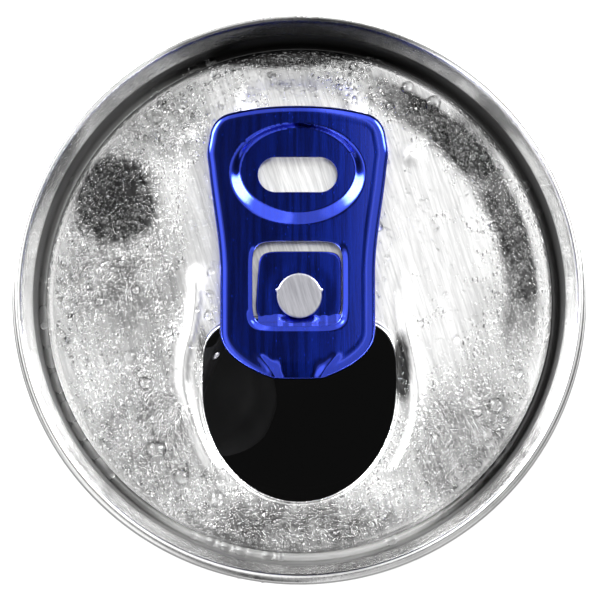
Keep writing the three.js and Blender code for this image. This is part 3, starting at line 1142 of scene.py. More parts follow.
@dataclass
class Panel:
    """The pressed relief of the end's flat panel, as a height over the plan."""

    levels: Levels
    mouth_half: float = 8.7
    mouth_y: float = -8.3
    mouth_front: float = 10.0
    mouth_back: float = 6.45
    mouth_power: float = 4.2
    well_x: float = 0.3
    well_y: float = 17.1
    well_half: tuple = (4.2, 1.9)
    well_corner: float = 1.6
    well_depth: float = 0.7
    well_slope: float = 1.9
    well_lip: Bell = Bell(0.1, 2.0, 0.24)
    well_step: Bell = Bell(0.05, 0.0, 0.17)
    bead_height: float = 0.36
    bead_width: float = 0.5
    bead_fall: tuple = (0.86, 1.0)
    skirt_width: float = 1.5
    skirt_rise: tuple = (0.0, 0.08)
    skirt_fall: tuple = (0.3, 0.5)
    beads: tuple = (
        Bead(((-9.4, 3.6), (-9.35, 0.2), (-9.7, -2.7), (-10.35, -5.4), (-10.4, -8.0), (-9.75, -10.6),
              (-8.95, -12.8), (-7.8, -14.9), (-6.3, -16.6)), 0.1, 0.21),
        Bead(((9.4, 3.6), (9.35, 0.2), (9.7, -2.7), (10.4, -5.8), (10.75, -9.0), (10.3, -12.0),
              (9.3, -14.4), (8.0, -16.3)), 0.3, 0.0),
    )
    bead_points: int = 12
    dimples: tuple = ((-10.2, 14.66), (10.2, 13.02))
    dimple_height: float = 0.26
    dimple_width: float = 0.55
    waver: float = 0.018
    waves: tuple = ((1.0, 0.21, 0.13, 0.6), (1.0, -0.17, 0.26, 2.1), (0.5, 0.47, 0.31, 0.0))
    drop_gap: float = 0.35
    drop_reach: float = 22.1

    def mouth_reach(self, direction: np.ndarray) -> np.ndarray:
        """How far the mouth's edge lies from its middle, in each direction.

        Args:
            direction: unit vectors, one a row.

        Returns:
            The reach in each direction.
        """
        front = oval_reach(direction, self.mouth_half, self.mouth_front, 2.0)
        back = oval_reach(direction, self.mouth_half, self.mouth_back, self.mouth_power)
        return np.where(direction[:, 1] > 0, back, front)

    def bead_paths(self) -> list[np.ndarray]:
        """The lines of the two beads beside the mouth, of which the left one hugs its lip."""
        return [through(bead.line, self.bead_points) for bead in self.beads]

    def height(self, x: np.ndarray, y: np.ndarray) -> np.ndarray:
        """The panel's height over its plane.

        It is the sum of a rounded-rectangle dish (the finger well), a bell round each bead's line,
        a bell at each dimple and a few long, low sine waves.

        Args:
            x: x of the points.
            y: y of the points.

        Returns:
            The heights.
        """
        over = np.stack([np.abs(x - self.well_x) - self.well_half[0] + self.well_corner,
                         np.abs(y - self.well_y) - self.well_half[1] + self.well_corner])
        outside = np.linalg.norm(np.maximum(over, 0), axis=0)
        gap = outside + np.minimum(over.max(axis=0), 0) - self.well_corner
        z = -self.well_depth * (1 - smooth_step(gap, 0, self.well_slope))
        z = z + self.well_lip.over(gap) + self.well_step.over(gap)
        for bead, path in zip(self.beads, self.bead_paths()):
            distance, share = path_distance(x, y, path)
            ends = smooth_step(share, 0.0, bead.rise) * (1 - smooth_step(share, *self.bead_fall))
            z = z + self.bead_height * bump(distance, self.bead_width) * ends
            span = smooth_step(share, *self.skirt_rise) * (1 - smooth_step(share, *self.skirt_fall))
            z = z + bead.skirt * bump(distance, self.skirt_width) * span
        for dx, dy in self.dimples:
            z = z + self.dimple_height * bump(np.hypot(x - dx, y - dy), self.dimple_width)
        waves = sum(size * np.sin(by_x * x + by_y * y + phase) for size, by_x, by_y, phase in self.waves)
        return z + self.waver * waves

    def wet(self, x: np.ndarray, y: np.ndarray) -> np.ndarray:
        """Whether a drop can lie at a point of the panel: clear of the mouth and inside the groove.

        Args:
            x: x of the points.
            y: y of the points.

        Returns:
            True where one can lie.
        """
        reach = np.stack([x, y - self.mouth_y], axis=1)
        length = np.linalg.norm(reach, axis=1)
        mouth = self.mouth_reach(reach / np.maximum(length, 1e-6)[:, None])
        return (length > mouth + self.drop_gap) & (np.hypot(x, y) < self.drop_reach)


@dataclass
class TornLeaf:
    """The torn leaf, bent down at its hinge and leaning in under the panel, and the curl beside it."""

    levels: Levels
    sheet: float
    length: float = 14.6
    hinge: tuple = (-9.0, -6.1)
    hinge_half: float = 1.7
    hinge_in: float = 0.6
    half: float = 6.5
    opening: tuple = (0.0, 0.3)
    rounding: tuple = (0.9, 1.22, 0.03)
    bend: float = 1.2
    turn_deg: float = -22.0
    lean_deg: float = 34.0
    slant: float = 2.2
    cross_power: float = 0.7
    thick_power: float = 0.3
    pressed: Bell = Bell(0.28, 0.85, 0.16)
    pressed_wide: float = 1.25
    pressed_middle: float = 0.52
    pressed_half: float = 0.36
    curl_place: tuple = (-7.6, -5.2, -0.75)
    curl_half: tuple = (0.45, 0.22, 0.16)
    curl_turn_deg: float = 38.0
    curl_slope: float = 0.5

    def leaf(self) -> bpy.types.Object:
        """A flattened tube of oval plan.

        Along the leaf the run first follows a quarter circle and then a slow inward curve; round
        each row the section is a flat superellipse of the sheet's thickness.

        Returns:
            The new object.
        """
        turn = math.radians(self.turn_deg)
        share = np.concatenate([[0.0], np.linspace(0.001, 0.985, 46), [1.0]])[:, None]
        cosine, sine = (wave(round_steps(56)[None]) for wave in (np.cos, np.sin))
        cross = np.sign(cosine) * np.abs(cosine) ** self.cross_power
        thick = np.sign(sine) * np.abs(sine) ** self.thick_power
        middle, spread, least = self.rounding
        rounding = np.sqrt(np.maximum(least, 1 - (2 * share - middle) ** 2 / spread))
        half_width = self.hinge_half + (self.half * rounding - self.hinge_half) * smooth_step(
            share, *self.opening)
        inner_rows = np.where((share > 0) & (share < 1), 1.0, 0.0)
        run = share * self.length
        quarter = self.bend * math.pi / 2
        turned_by = np.minimum(run / self.bend, math.pi / 2)
        rest = np.maximum(0, run - quarter)
        lean = math.radians(self.lean_deg) * rest / (self.length - quarter)
        oval = np.sqrt((cross * self.pressed_wide) ** 2
                       + ((share - self.pressed_middle) / self.pressed_half) ** 2)
        lift = inner_rows * self.sheet / 2 * thick + self.pressed.over(oval) * inner_rows
        facing = turned_by - lean
        out = self.bend * np.sin(turned_by) + rest * np.sin(lean) - self.hinge_in + lift * np.sin(facing)
        down = self.bend * (1 - np.cos(turned_by)) + rest * np.cos(lean)
        wide = inner_rows * cross * half_width - self.slant * share
        x = self.hinge[0] + out * math.cos(turn) - wide * math.sin(turn)
        y = self.hinge[1] + out * math.sin(turn) + wide * math.cos(turn)
        z = self.levels.panel_z - self.sheet / 2 - down + lift * np.cos(facing)
        return grid_mesh("torn_leaf", np.stack(np.broadcast_arrays(x, y, z), axis=-1), 60.0)

    def curl(self) -> bpy.types.Object:
        """The bright curl of torn metal: a stretched ball, turned in plan.

        Its points are (a sin v cos u, b sin v sin u, c cos v), turned about Z and moved to its place.

        Returns:
            The new object.
        """
        turn = math.radians(self.curl_turn_deg)
        u = round_steps(24)[None]
        v = np.linspace(0, math.pi, 13)[:, None]
        along = self.curl_half[0] * np.sin(v) * np.cos(u)
        across = self.curl_half[1] * np.sin(v) * np.sin(u)
        x = self.curl_place[0] + along * math.cos(turn) - across * math.sin(turn)
        y = self.curl_place[1] + along * math.sin(turn) + across * math.cos(turn)
        z = (self.levels.panel_z + self.curl_place[2] + self.curl_half[2] * np.cos(v)
             + self.curl_slope * along + 0 * u)
        return grid_mesh("hinge_curl", np.stack([x, y, z], axis=-1), 60.0)


@dataclass
class CanEnd:
    """The end: panel with its open mouth, countersink groove, chuck wall, seam, rivet and torn leaf."""

    levels: Levels
    panel: Panel
    around: int = 380
    sheet: float = 0.26
    flat_radius: float = 22.2
    proud: float = 0.06
    fade: tuple = (21.2, 22.15)
    lip: tuple = (Bell(0.035, 0.11, 0.06), Bell(-0.1, 0.0, 0.035), Bell(-0.06, 0.24, 0.05),
                  Bell(0.03, 0.36, 0.07))
    lip_rows: tuple = (0.0, 0.03, 0.06, 0.1, 0.14, 0.18, 0.22, 0.26, 0.31, 0.38, 0.47, 0.58)
    panel_rows: int = 112
    rivet_y: float = 0.17
    rivet_radius: float = 2.04
    rivet_height: float = 1.04
    ear_turn: float = 0.25
    ear_width: float = 0.07
    ear_growth: float = 0.1
    ear_start: tuple = (1.7, 2.0)
    grain_deg: float = -72.5

    def rim_profile(self) -> np.ndarray:
        """The section from the panel's edge over the seam and back under it, as (r, z) points.

        Returns:
            The section's points.
        """
        edge = self.levels.seam_radius + self.proud
        top = [(22.2, -4.5), (22.4, -4.514), (22.6, -4.545), (22.78, -4.592), (22.9, -4.65), (22.96, -4.78),
               (22.97, -5.2), (22.98, -5.7), (23.0, -6.05), (23.08, -6.35), (23.2, -6.51), (23.36, -6.54),
               (23.52, -6.46), (23.66, -6.24), (23.77, -5.8), (23.8, -4.9), (23.84, -3.6), (23.92, -2.9),
               (24.1, -2.0), (24.3, -1.1), (24.42, -0.6), (24.54, -0.28), (24.68, -0.08), (24.88, 0.0),
               (25.08, -0.05), (25.27, -0.24), (edge - 0.02, -0.55), (edge, -0.95), (edge, -1.5),
               (edge, -2.1), (edge - 0.03, -2.36), (edge - 0.16, -2.5), (25.1, -2.52)]
        back = [(25.0, -2.5), (24.6, -2.44), (24.5, -2.6), (24.38, -3.4), (24.2, -4.9), (24.06, -5.8),
                (23.95, -6.4), (23.7, -6.72), (23.34, -6.82), (23.0, -6.76), (22.7, -6.5), (22.55, -6.1),
                (22.52, -5.7), (22.5, -5.2), (22.42, -4.95), (22.2, -4.5 - self.sheet)]
        run = np.vstack([through(top, 2), through(back, 2)])
        return run + (0, self.levels.rim_z)

    def shell(self) -> bpy.types.Object:
        """The whole sheet as one closed surface.

        Straight lines leave the mouth's middle; on each, rows run from the mouth's edge to the flat
        panel's rim at the panel's height, then round the section of groove, wall and seam, and
        back below the panel to the mouth.

        Returns:
            The new object.
        """
        p = self.panel
        angle = round_steps(self.around)
        ray = np.stack([np.cos(angle), np.sin(angle)], axis=1)
        near = p.mouth_reach(ray)
        along = p.mouth_y * ray[:, 1]
        far = -along + np.sqrt(along**2 + self.flat_radius**2 - p.mouth_y**2)
        close = np.array(self.lip_rows)
        rest = np.linspace(0, 1, self.panel_rows)[1:]
        start = near[None] + close[:, None]
        onward = near[None] + close[-1] + (far - near - close[-1])[None] * rest[:, None]
        reach = np.vstack([start, onward])
        x = reach * ray[:, 0]
        y = p.mouth_y + reach * ray[:, 1]
        flat = 1 - smooth_step(np.hypot(x, y), *self.fade)
        level = p.height(x, y) * flat + sum(bell.over(reach - near[None]) for bell in self.lip)
        top = np.stack([x, y, self.levels.panel_z + level], axis=-1)

        turn = np.arctan2(y[-1], x[-1])
        profile = self.rim_profile()[1:-1]
        rim = np.stack([profile[:, :1] * np.cos(turn), profile[:, :1] * np.sin(turn),
                        profile[:, 1:] + 0 * turn], axis=-1)
        under = top[::-4].copy()
        under[..., 2] -= self.sheet
        piece = grid_mesh("end_sheet", np.concatenate([top, rim, under]), 50.0, closed=True, weld=0)
        piece.data.flip_normals()
        return piece

    def rivet(self) -> bpy.types.Object:
        """The rivet: a lathe of stem and headed top, its edge drawn out into two small ears.

        Returns:
            The new object.
        """
        top = self.levels.panel_z + self.rivet_height
        r = self.rivet_radius
        profile = through([(0, top - 0.015), (0.9, top - 0.01), (1.6, top), (r - 0.16, top),
                           (r - 0.12, top - 0.015), (r - 0.06, top - 0.03), (r - 0.02, top - 0.08),
                           (r, top - 0.2), (r - 0.04, top - 0.36), (r - 0.25, top - 0.45),
                           (1.55, top - 0.48), (1.45, top - 0.6), (1.5, top - 0.95), (1.9, top - 1.04),
                           (1.6, top - 1.2), (0, top - 1.2)], 3)
        piece = turned("rivet", profile, 96, (0.0, self.rivet_y))
        points = vertices(piece)
        x, y = points[:, 0] / MM, points[:, 1] / MM - self.rivet_y
        angle, radius = np.arctan2(y, x), np.hypot(x, y)
        ears = sum(bump(np.angle(np.exp(1j * (angle - at))), self.ear_width)
                   for at in (self.ear_turn, math.pi - self.ear_turn))
        grow = 1 + self.ear_growth * ears * smooth_step(radius, *self.ear_start)
        points[:, 0] = x * grow * MM
        points[:, 1] = (y * grow + self.rivet_y) * MM
        piece.data.vertices.foreach_set("co", points.ravel())
        return piece

    def build(self, finishes: Finishes) -> None:
        """Make the end's pieces, lay the sheet's grain over them and dress them.

        Args:
            finishes: every finish.
        """
        torn = TornLeaf(self.levels, self.sheet)
        pieces = (
            (torn.curl(), finishes.rivet, ()), (self.shell(), finishes.end, ("can_end",)),
            # The torn leaf takes the inside's finish: painted near black as painted shade.
            (self.rivet(), finishes.rivet, ()), (torn.leaf(), finishes.inside, ()),
        )
        for piece, finish, nodes in pieces:
            grain_map(piece, self.grain_deg)
            dress(piece, finish, Body.CAN, nodes)


@dataclass
class CanBody:
    """The drawn body: bright outside and, inside, a lining painted near black as painted shade, as two closed
    shells one within the other.
    """

    levels: Levels
    wall: float = 0.26
    clearance: float = 0.02
    around: int = 224

    def outside(self, inset: float) -> np.ndarray:
        """The section from the dome's middle to the neck's top, moved in by inset, as (r, z).

        Args:
            inset: how far the section moves in.

        Returns:
            The section's points.
        """
        r = self.levels.body_radius
        dome = [(0, 9.6), (5, 9.2), (10, 7.9), (14, 5.9), (17, 3.6), (18.9, 1.5), (19.45, 0.5)]
        foot = [(19.9, 0.03), (20.4, 0), (20.9, 0.05), (21.6, 0.55), (23, 1.9), (24.4, 3.7), (25.6, 5.8),
                (26.2, 7.8), (r, 10)]
        wall = [(r, 14), (r, 40), (r, 66), (r, 92), (r, 112), (r, 117.5)]
        neck = [(r - 0.03, 119.2), (r - 0.18, 121), (r - 0.5, 123), (r - 0.9, 125), (r - 1.25, 127),
                (r - 1.47, 128.6), (r - 1.55, 129.8), (r - 1.56, 131), (r - 1.56, 131.62)]
        run = through(dome + foot + wall + neck, 4)
        tangent = unit(np.gradient(run, axis=0))
        moved = run + inset * np.stack([-tangent[:, 1], tangent[:, 0]], axis=1)
        moved[0, 0] = 0.0
        moved[:, 0] = np.maximum(moved[:, 0], 0.0)
        return moved

    def build(self, finishes: Finishes) -> None:
        """Make and dress the outer shell and its lining, painted near black as painted shade.

        Args:
            finishes: every finish.
        """
        half = self.wall / 2
        skin = np.vstack([self.outside(0), self.outside(half)[::-1]])
        lining = np.vstack([self.outside(half + self.clearance), self.outside(self.wall)[::-1]])
        dress(turned("drawn_body", skin, self.around), finishes.body, Body.CAN, ("can_body",))
        dress(turned("inside_painted_shade", lining, self.around // 2), finishes.inside, Body.CAN)


@dataclass
class PullTab:
    """The pull tab: a web with a dished heel, a plain slot and a window, inside one rolled rim."""

    levels: Levels
    samples: int = 480
    rim: float = 1.25
    sheet: float = 0.28
    sink: float = 0.004
    side: float = 8.15
    waist: float = 7.0
    bulges: tuple = (Bell(0.1, 13.0, 0.75), Bell(-0.05, 14.4, 0.5))
    evening_rounds: int = 6
    roll_upper: tuple = (0.82, 0.5)
    roll_lower: float = 0.5
    split_y: float = 5.82
    split_count: int = 70
    dish_y: float = 11.2
    dish_half: tuple = (6.1, 4.62)
    floor_half: tuple = (5.25, 3.92)
    floor_shift: float = 0.42
    dish_depth: float = 0.58
    dish_round: float = 0.2
    slot_half: float = 3.6
    slot_radius: float = 1.6
    window_y: float = 1.22
    window_half: tuple = (4.07, 3.83)
    window_power: float = 6.0
    edge_right: tuple = (0.17, 1.13)
    edge_left: tuple = (0.06, 1.09)
    edge_sides: tuple = (3.0, 4.0)
    edge_back: tuple = (3.4, 5.0)
    front_drop: float = 0.2
    front_reach: float = 1.14
    front_span: tuple = (-2.2, -1.0)
    nose_drop: float = 0.22
    nose_span: tuple = (5.4, 7.1)
    nose_sides: tuple = (1.5, 2.6)
    crease_height: float = 0.1
    crease_width: float = 0.34
    crease_start: float = 5.2
    crease_length: float = 1.9
    crease_x: tuple = (3.5, 1.9)
    crease_span: tuple = (4.9, 5.9)
    row_power: float = 1.15
    edge_round: float = 0.05
    rivet_y: float = 0.17
    bore: float = 1.5
    tongue_middle: tuple = (0.02, 1.15)
    tongue_half: tuple = (3.75, 3.05)
    tongue_power: float = 7.0
    tongue_sheet: float = 0.3
    tongue_around: int = 200
    tongue_skew: tuple = (1.03, 0.018)
    tongue_rise: tuple = (0.01, 2.2, 3.4)
    tongue_front: tuple = (0.1, 1.5, 2.0)
    tongue_swell: float = 1.012
    tongue_raise: float = 0.04
    bend_half: float = 3.72
    bend_sheet: float = 0.24
    bend_waves: tuple = ((0.02, 2.3, 0.0), (0.012, 5.9, 1.0))
    bend_wave_up: float = 0.4
    bend_over: float = 0.03
    bend_under: float = 0.02
    bend_path: tuple = ((-1.5, -0.03), (-1.7, 0.03), (-1.9, 0.15), (-2.12, 0.31), (-2.36, 0.5),
                        (-2.6, 0.68), (-2.85, 0.82), (-3.1, 0.9))

    def outline(self) -> np.ndarray:
        """The tab's edge, counter-clockwise from the nose: cubic curves mirrored left to right.

        Returns:
            Rows of (x, y).
        """
        side, waist = self.side, self.waist
        nose, crown = self.levels.nose_y, self.levels.heel_y
        right = np.vstack([
            bezier((0, nose), (0.8, nose), (1.6, nose), (2.2, nose + 0.04), 12),
            bezier((2.2, nose + 0.04), (4.9, -6.4), (7, -5), (7, -3.1), 60),
            bezier((waist, -3.1), (waist, -1.4), (waist, 0.4), (waist, 2), 40),
            bezier((waist, 2), (waist, 6), (side, 10), (side, 13.6), 90),
            bezier((side, 13.6), (side, 15.6), (side - 0.8, 16.6), (6, crown - 0.65), 50),
            bezier((6, crown - 0.65), (4, crown - 0.16), (2, crown), (0, crown), 40),
        ])
        right[:, 0] += sum(bell.over(right[:, 1]) for bell in self.bulges) * np.sign(right[:, 0])
        loop = even_loop(np.vstack([right, [[0, crown]], right[1:][::-1] * (-1, 1)]), self.samples)
        for _ in range(self.evening_rounds):
            loop = 0.5 * loop + 0.25 * (np.roll(loop, 1, axis=0) + np.roll(loop, -1, axis=0))
        return loop + (self.levels.tab_x, 0)

    def slot_reach(self, ray: np.ndarray) -> np.ndarray:
        """How far the round-ended slot reaches: its flats at r/|sin|, its ends on their circles.

        Args:
            ray: unit vectors, one a row.

        Returns:
            The reach in each direction.
        """
        half, r = self.slot_half - self.slot_radius, self.slot_radius
        cosine, sine = np.abs(ray[:, 0]), np.abs(ray[:, 1])
        flat = r / np.maximum(sine, 1e-6)
        end = half * cosine + np.sqrt(np.maximum(r * r - (half * sine) ** 2, 0))
        return np.where(flat * cosine <= half, flat, end)

    def window_reach(self, ray: np.ndarray) -> np.ndarray:
        """How far the window's squarish superellipse reaches."""
        return oval_reach(ray, *self.window_half, self.window_power)

    def pressed(self, x: np.ndarray, y: np.ndarray) -> np.ndarray:
        """How far the web lies below its flat: the dish's cone and the window's turned-down edge.

        Between the dish's outer oval and its floor's oval, which lies a little nearer the heel, the
        depth grows evenly by the share of the way from one to the other.

        Args:
            x: x of the points.
            y: y of the points.

        Returns:
            The depths.
        """
        dx = x - self.levels.tab_x
        outer = np.hypot(dx / self.dish_half[0], (y - self.dish_y) / self.dish_half[1])
        inner = np.hypot(dx / self.floor_half[0], (y - self.dish_y - self.floor_shift) / self.floor_half[1])
        inside, beyond = np.maximum(1 - outer, 0), np.maximum(inner - 1, 0)
        share = inside / np.maximum(inside + beyond, 1e-6)
        eased = (1 - self.dish_round) * share + self.dish_round * smooth_step(share, 0.0, 1.0)
        power = self.window_power
        w = (np.abs(dx / self.window_half[0]) ** power
             + np.abs((y - self.window_y) / self.window_half[1]) ** power) ** (1 / power)
        sides = smooth_step(np.abs(dx), *self.edge_sides) * (1 - smooth_step(y, *self.edge_back))
        depth, reach = (np.where(dx > 0, *pair) for pair in zip(self.edge_right, self.edge_left))
        turn_down = depth * (1 - smooth_step(w, 1.0, reach)) * sides
        front = self.front_drop * (1 - smooth_step(w, 1.0, self.front_reach)) * (
            1 - smooth_step(y, *self.front_span))
        return self.dish_depth * eased + np.maximum(turn_down, front)

    def nose_form(self, x: np.ndarray, y: np.ndarray) -> np.ndarray:
        """The pinched nose: its middle pressed thin between two slanting creases.

        Args:
            x: x of the points.
            y: y of the points.

        Returns:
            The heights to add.
        """
        dx = np.abs(x - self.levels.tab_x)
        pressed = smooth_step(-y, *self.nose_span) * (1 - smooth_step(dx, *self.nose_sides))
        along = np.clip((-y - self.crease_start) / self.crease_length, 0, 1)
        start, end = self.crease_x
        crease = bump(dx - (start - (start - end) * along), self.crease_width)
        return self.crease_height * crease * smooth_step(-y, *self.crease_span) - self.nose_drop * pressed

    def web(self, outer: np.ndarray, middle_y: float, reach: Callable, top_rows: int,
            under_rows: int) -> tuple[np.ndarray, np.ndarray]:
        """A ring of web between a loop and the hole inside it, upper side, hole wall and underside.

        Rows lie on straight lines from the hole's edge to the loop, at the web's height less what
        is pressed into it; the underside repeats them one sheet lower.

        Args:
            outer: the loop's (x, y) points, counter-clockwise.
            middle_y: y of the hole's middle.
            reach: gives the hole's reach in each direction.
            top_rows: how many rows the upper side gets.
            under_rows: how many rows the underside gets.

        Returns:
            Its vertices and its quads.
        """
        middle = np.array([self.levels.tab_x, middle_y])
        ray = outer - middle
        length = np.linalg.norm(ray, axis=1)
        hole = reach(ray / length[:, None]) / length
        flat = self.levels.tab_high - self.sink

        def lay(shares: np.ndarray, drop: float, open_by: float = 0.0) -> np.ndarray:
            """Rows at shares of the way from the hole to the loop, lowered and held off the hole.

            Args:
                shares: shares of the way, 1 at the loop.
                drop: how far the rows are lowered.
                open_by: how far they are held off the hole's edge.

            Returns:
                The rows.
            """
            t = (hole + open_by / length)[None] * (1 - shares[:, None]) + shares[:, None]
            x = middle[0] + t * ray[:, 0]
            y = middle[1] + t * ray[:, 1]
            return np.stack([x, y, flat - drop - self.pressed(x, y)], axis=-1)

        bevel = self.edge_round
        top = lay(np.linspace(1, 0, top_rows) ** self.row_power, 0, bevel)
        wall = [lay(np.zeros(1), depth) for depth in (bevel, self.sheet / 2, self.sheet - bevel)]
        under = lay(np.linspace(0, 1, under_rows) ** self.row_power, self.sheet, bevel)
        rows = np.concatenate([top, *wall, under])
        return rows.reshape(-1, 3), grid_quads(len(rows), len(outer))

    def rim_strip(self, edge: np.ndarray) -> tuple[np.ndarray, np.ndarray]:
        """The rolled rim: its section carried round the tab's edge along the edge's normals.

        Args:
            edge: the tab's edge.

        Returns:
            Its vertices and its quads.
        """
        low, high = self.levels.tab_low, self.levels.tab_high
        (wide, tall), r = self.roll_upper, self.roll_lower
        upper = [(wide - wide * math.sin(a), high - tall + tall * math.cos(a))
                 for a in np.linspace(0.1, math.pi / 2, 14)]
        lower = [(r - r * math.cos(a), low + r - r * math.sin(a)) for a in np.linspace(0, math.pi / 2, 8)]
        section = np.array(
            [(self.rim, high - self.sink), (1.1, high), (0.95, high), (0.86, high)] + upper + lower
            + [(0.8, low + 0.04), (1.02, low + 0.18), (1.12, low + 0.4), (1.08, low + 0.6),
               (self.rim, high - self.sink - self.sheet)])
        plan = edge[None] - outward(edge)[None] * section[:, :1, None]
        points = np.concatenate([plan, np.broadcast_to(section[:, 1:, None], plan.shape[:2] + (1,))], axis=-1)
        return points.reshape(-1, 3), grid_quads(len(section), len(edge))

    def shell(self) -> bpy.types.Object:
        """The whole tab: rim, heel web and window web, welded along their shared lines.

        Returns:
            The new object.
        """
        edge = self.outline()
        inner = edge - outward(edge) * self.rim
        high = np.flatnonzero(inner[:, 1] > self.split_y)
        right, left = high[0], high[-1]
        across = np.linspace(inner[left], inner[right], self.split_count + 2)[1:-1]
        heel = np.vstack([inner[right:left + 1], across])
        front = np.vstack([inner[left:], inner[:right + 1], across[::-1]])
        strips = [
            self.rim_strip(edge),
            self.web(heel, self.dish_y, self.slot_reach, 46, 20),
            self.web(front, self.window_y, self.window_reach, 30, 16),
        ]
        starts = np.cumsum([0] + [len(points) for points, _ in strips[:-1]])
        points = np.vstack([p for p, _ in strips])
        faces = np.vstack([f + start for (_, f), start in zip(strips, starts)])
        points[:, 2] += self.nose_form(points[:, 0], points[:, 1])
        return put_mesh("tab_shell", points, faces, 40.0, 2e-3)

    def tongue(self) -> bpy.types.Object:
        """The tongue round the rivet: a sheet between the rivet's bore and a squarish outline.

        Rows run out from the bore's circle to the outline, over its rounded edge and back below.

        Returns:
            The new object.
        """
        middle = np.array(self.tongue_middle)
        angle = round_steps(self.tongue_around)
        ray = np.stack([np.cos(angle), np.sin(angle)], axis=1)
        edge = middle + ray * oval_reach(ray, *self.tongue_half, self.tongue_power)[:, None]
        wider, narrowing = self.tongue_skew
        edge[:, 0] = np.where(edge[:, 0] < 0, edge[:, 0] * (wider - narrowing * edge[:, 1]), edge[:, 0])
        bore = np.array([0.0, self.rivet_y]) + ray * self.bore
        low, thick = self.levels.tongue_z, self.tongue_sheet
        shares = np.linspace(0, 1, 22)[:, None, None]
        plan = bore[None] * (1 - shares) + edge[None] * shares
        from_rivet = np.hypot(plan[..., 0], plan[..., 1] - self.rivet_y)
        (rise, *rise_span), (front, *front_span) = self.tongue_rise, self.tongue_front
        level = rise * smooth_step(from_rivet, *rise_span) + front * smooth_step(-plan[..., 1], *front_span)
        top = np.concatenate([plan, (low + thick + level)[..., None]], axis=-1)
        swollen = middle + (edge - middle) * self.tongue_swell
        heights = (low + thick * t + self.tongue_raise for t in (0.8, 0.5, 0.2))
        rounded = np.array([np.column_stack([swollen, np.full(len(swollen), z)]) for z in heights])
        under = top[::-3].copy()
        under[..., 2] -= thick
        return grid_mesh("tab_tongue_sheet", np.concatenate([top, rounded, under]), 40.0, closed=True)

    def bend(self) -> bpy.types.Object:
        """The bend between tongue and web: an S-shaped strip with its section swept across the tab.

        Returns:
            The new object.
        """
        low = self.levels.tongue_z + self.tongue_sheet + self.bend_over
        rise = self.levels.tab_high - self.sink - self.bend_under - low
        spine = through([(y, low + share * rise) for y, share in self.bend_path], 5)
        tangent = unit(np.gradient(spine, axis=0))
        under = spine + self.bend_sheet * np.stack([-tangent[:, 1], tangent[:, 0]], axis=1)
        below = np.where(under[:, 1:] > spine[:, 1:], 2 * spine - under, under)
        section = np.vstack([spine, below[::-1]])
        x = np.linspace(-self.bend_half, self.bend_half, 60)
        wave = sum(size * np.sin(x * by_x + phase) for size, by_x, phase in self.bend_waves)
        points = np.empty((len(x) + 2, len(section), 3))
        points[1:-1, :, 0] = x[:, None]
        points[1:-1, :, 1] = section[None, :, 0] + wave[:, None]
        points[1:-1, :, 2] = section[None, :, 1] + self.bend_wave_up * wave[:, None]
        points[0] = points[1].mean(axis=0)
        points[-1] = points[-2].mean(axis=0)
        return grid_mesh("tab_bend", points, 50.0)

    def build(self, finishes: Finishes) -> None:
        """Make and dress the tab's pieces; the bend strip gets the tab's finish and rides on neither body.

        Args:
            finishes: every finish.
        """
        dress(self.shell(), finishes.tab, Body.TAB, ("pull_tab",))
        dress(self.tongue(), finishes.tab, Body.CAN, ("tab_tongue",))
        strip = self.bend()
        strip.data.materials.append(finishes.tab)
        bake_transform(strip)
        LOG.info("%s: %d faces across the bend", strip.name, len(strip.data.polygons))


# Water.


def domes(name: str, middle: np.ndarray, normal: np.ndarray, radius: np.ndarray, rise: np.ndarray,
          sides: int, rings: int, uneven: float, seed: int) -> bpy.types.Object:
    """Many closed drops in one mesh.

    Each is a cap of height rise (1 - s^2) at s times its radius, s from 0 at the top to 1 at its
    foot, its outline drawn out unevenly by two low waves, and closed below the surface it lies on.

    Args:
        name: the piece's name.
        middle: the drops' places, one a row.
        normal: the surface's normals there.
        radius: the drops' radii.
        rise: their heights as shares of their radii.
        sides: how many steps round each.
        rings: how many rings each.
        uneven: how far the outline departs from round.
        seed: seed of the unevenness.

    Returns:
        The new object.
    """
    random = np.random.default_rng(seed)
    count = len(middle)
    helper = np.where(np.abs(normal[:, 2:]) > 0.9, [[0.0, 1.0, 0.0]], [[0.0, 0.0, 1.0]])
    across = unit(np.cross(helper, normal))
    along = np.cross(normal, across)
    angle = round_steps(sides)
    phase = random.uniform(0, TAU, (2, count, 1))
    size = uneven * random.uniform(0.3, 1.0, (2, count, 1))
    form = 1 + size[0] * np.cos(2 * angle + phase[0]) + 0.5 * size[1] * np.cos(3 * angle + phase[1])
    share = np.linspace(0, 1, rings + 1)[1:]
    plan = radius[:, None, None] * form[:, None, :] * share[None, :, None]
    lift = (radius * rise)[:, None, None] * (1 - share[None, :, None] ** 2) - DROP_SINK
    lift = np.broadcast_to(lift, plan.shape)
    x, y = plan * np.cos(angle), plan * np.sin(angle)
    ring = (middle[:, None, None] + x[..., None] * across[:, None, None]
            + y[..., None] * along[:, None, None] + lift[..., None] * normal[:, None, None])
    top = middle + normal * (radius * rise)[:, None]
    foot = middle - normal * DROP_FOOT
    points = np.concatenate([top[:, None], ring.reshape(count, -1, 3), foot[:, None]], axis=1)
    j = np.arange(sides)
    k = (j + 1) % sides
    last = 1 + (rings - 1) * sides
    cap = np.stack([0 * j, 1 + j, 1 + k], axis=1)
    base = np.stack([last + k, last + j, 0 * j + rings * sides + 1], axis=1)
    faces = [cap, base]
    for r in range(rings - 1):
        a, b = 1 + r * sides, 1 + (r + 1) * sides
        faces += [np.stack([a + j, b + j, b + k], axis=1), np.stack([a + j, b + k, a + k], axis=1)]
    one = np.vstack(faces)
    per_drop = rings * sides + 2
    every = (one[None] + per_drop * np.arange(count)[:, None, None]).reshape(-1, 3)
    return put_mesh(name, points.reshape(-1, 3), every, 60.0, 0)


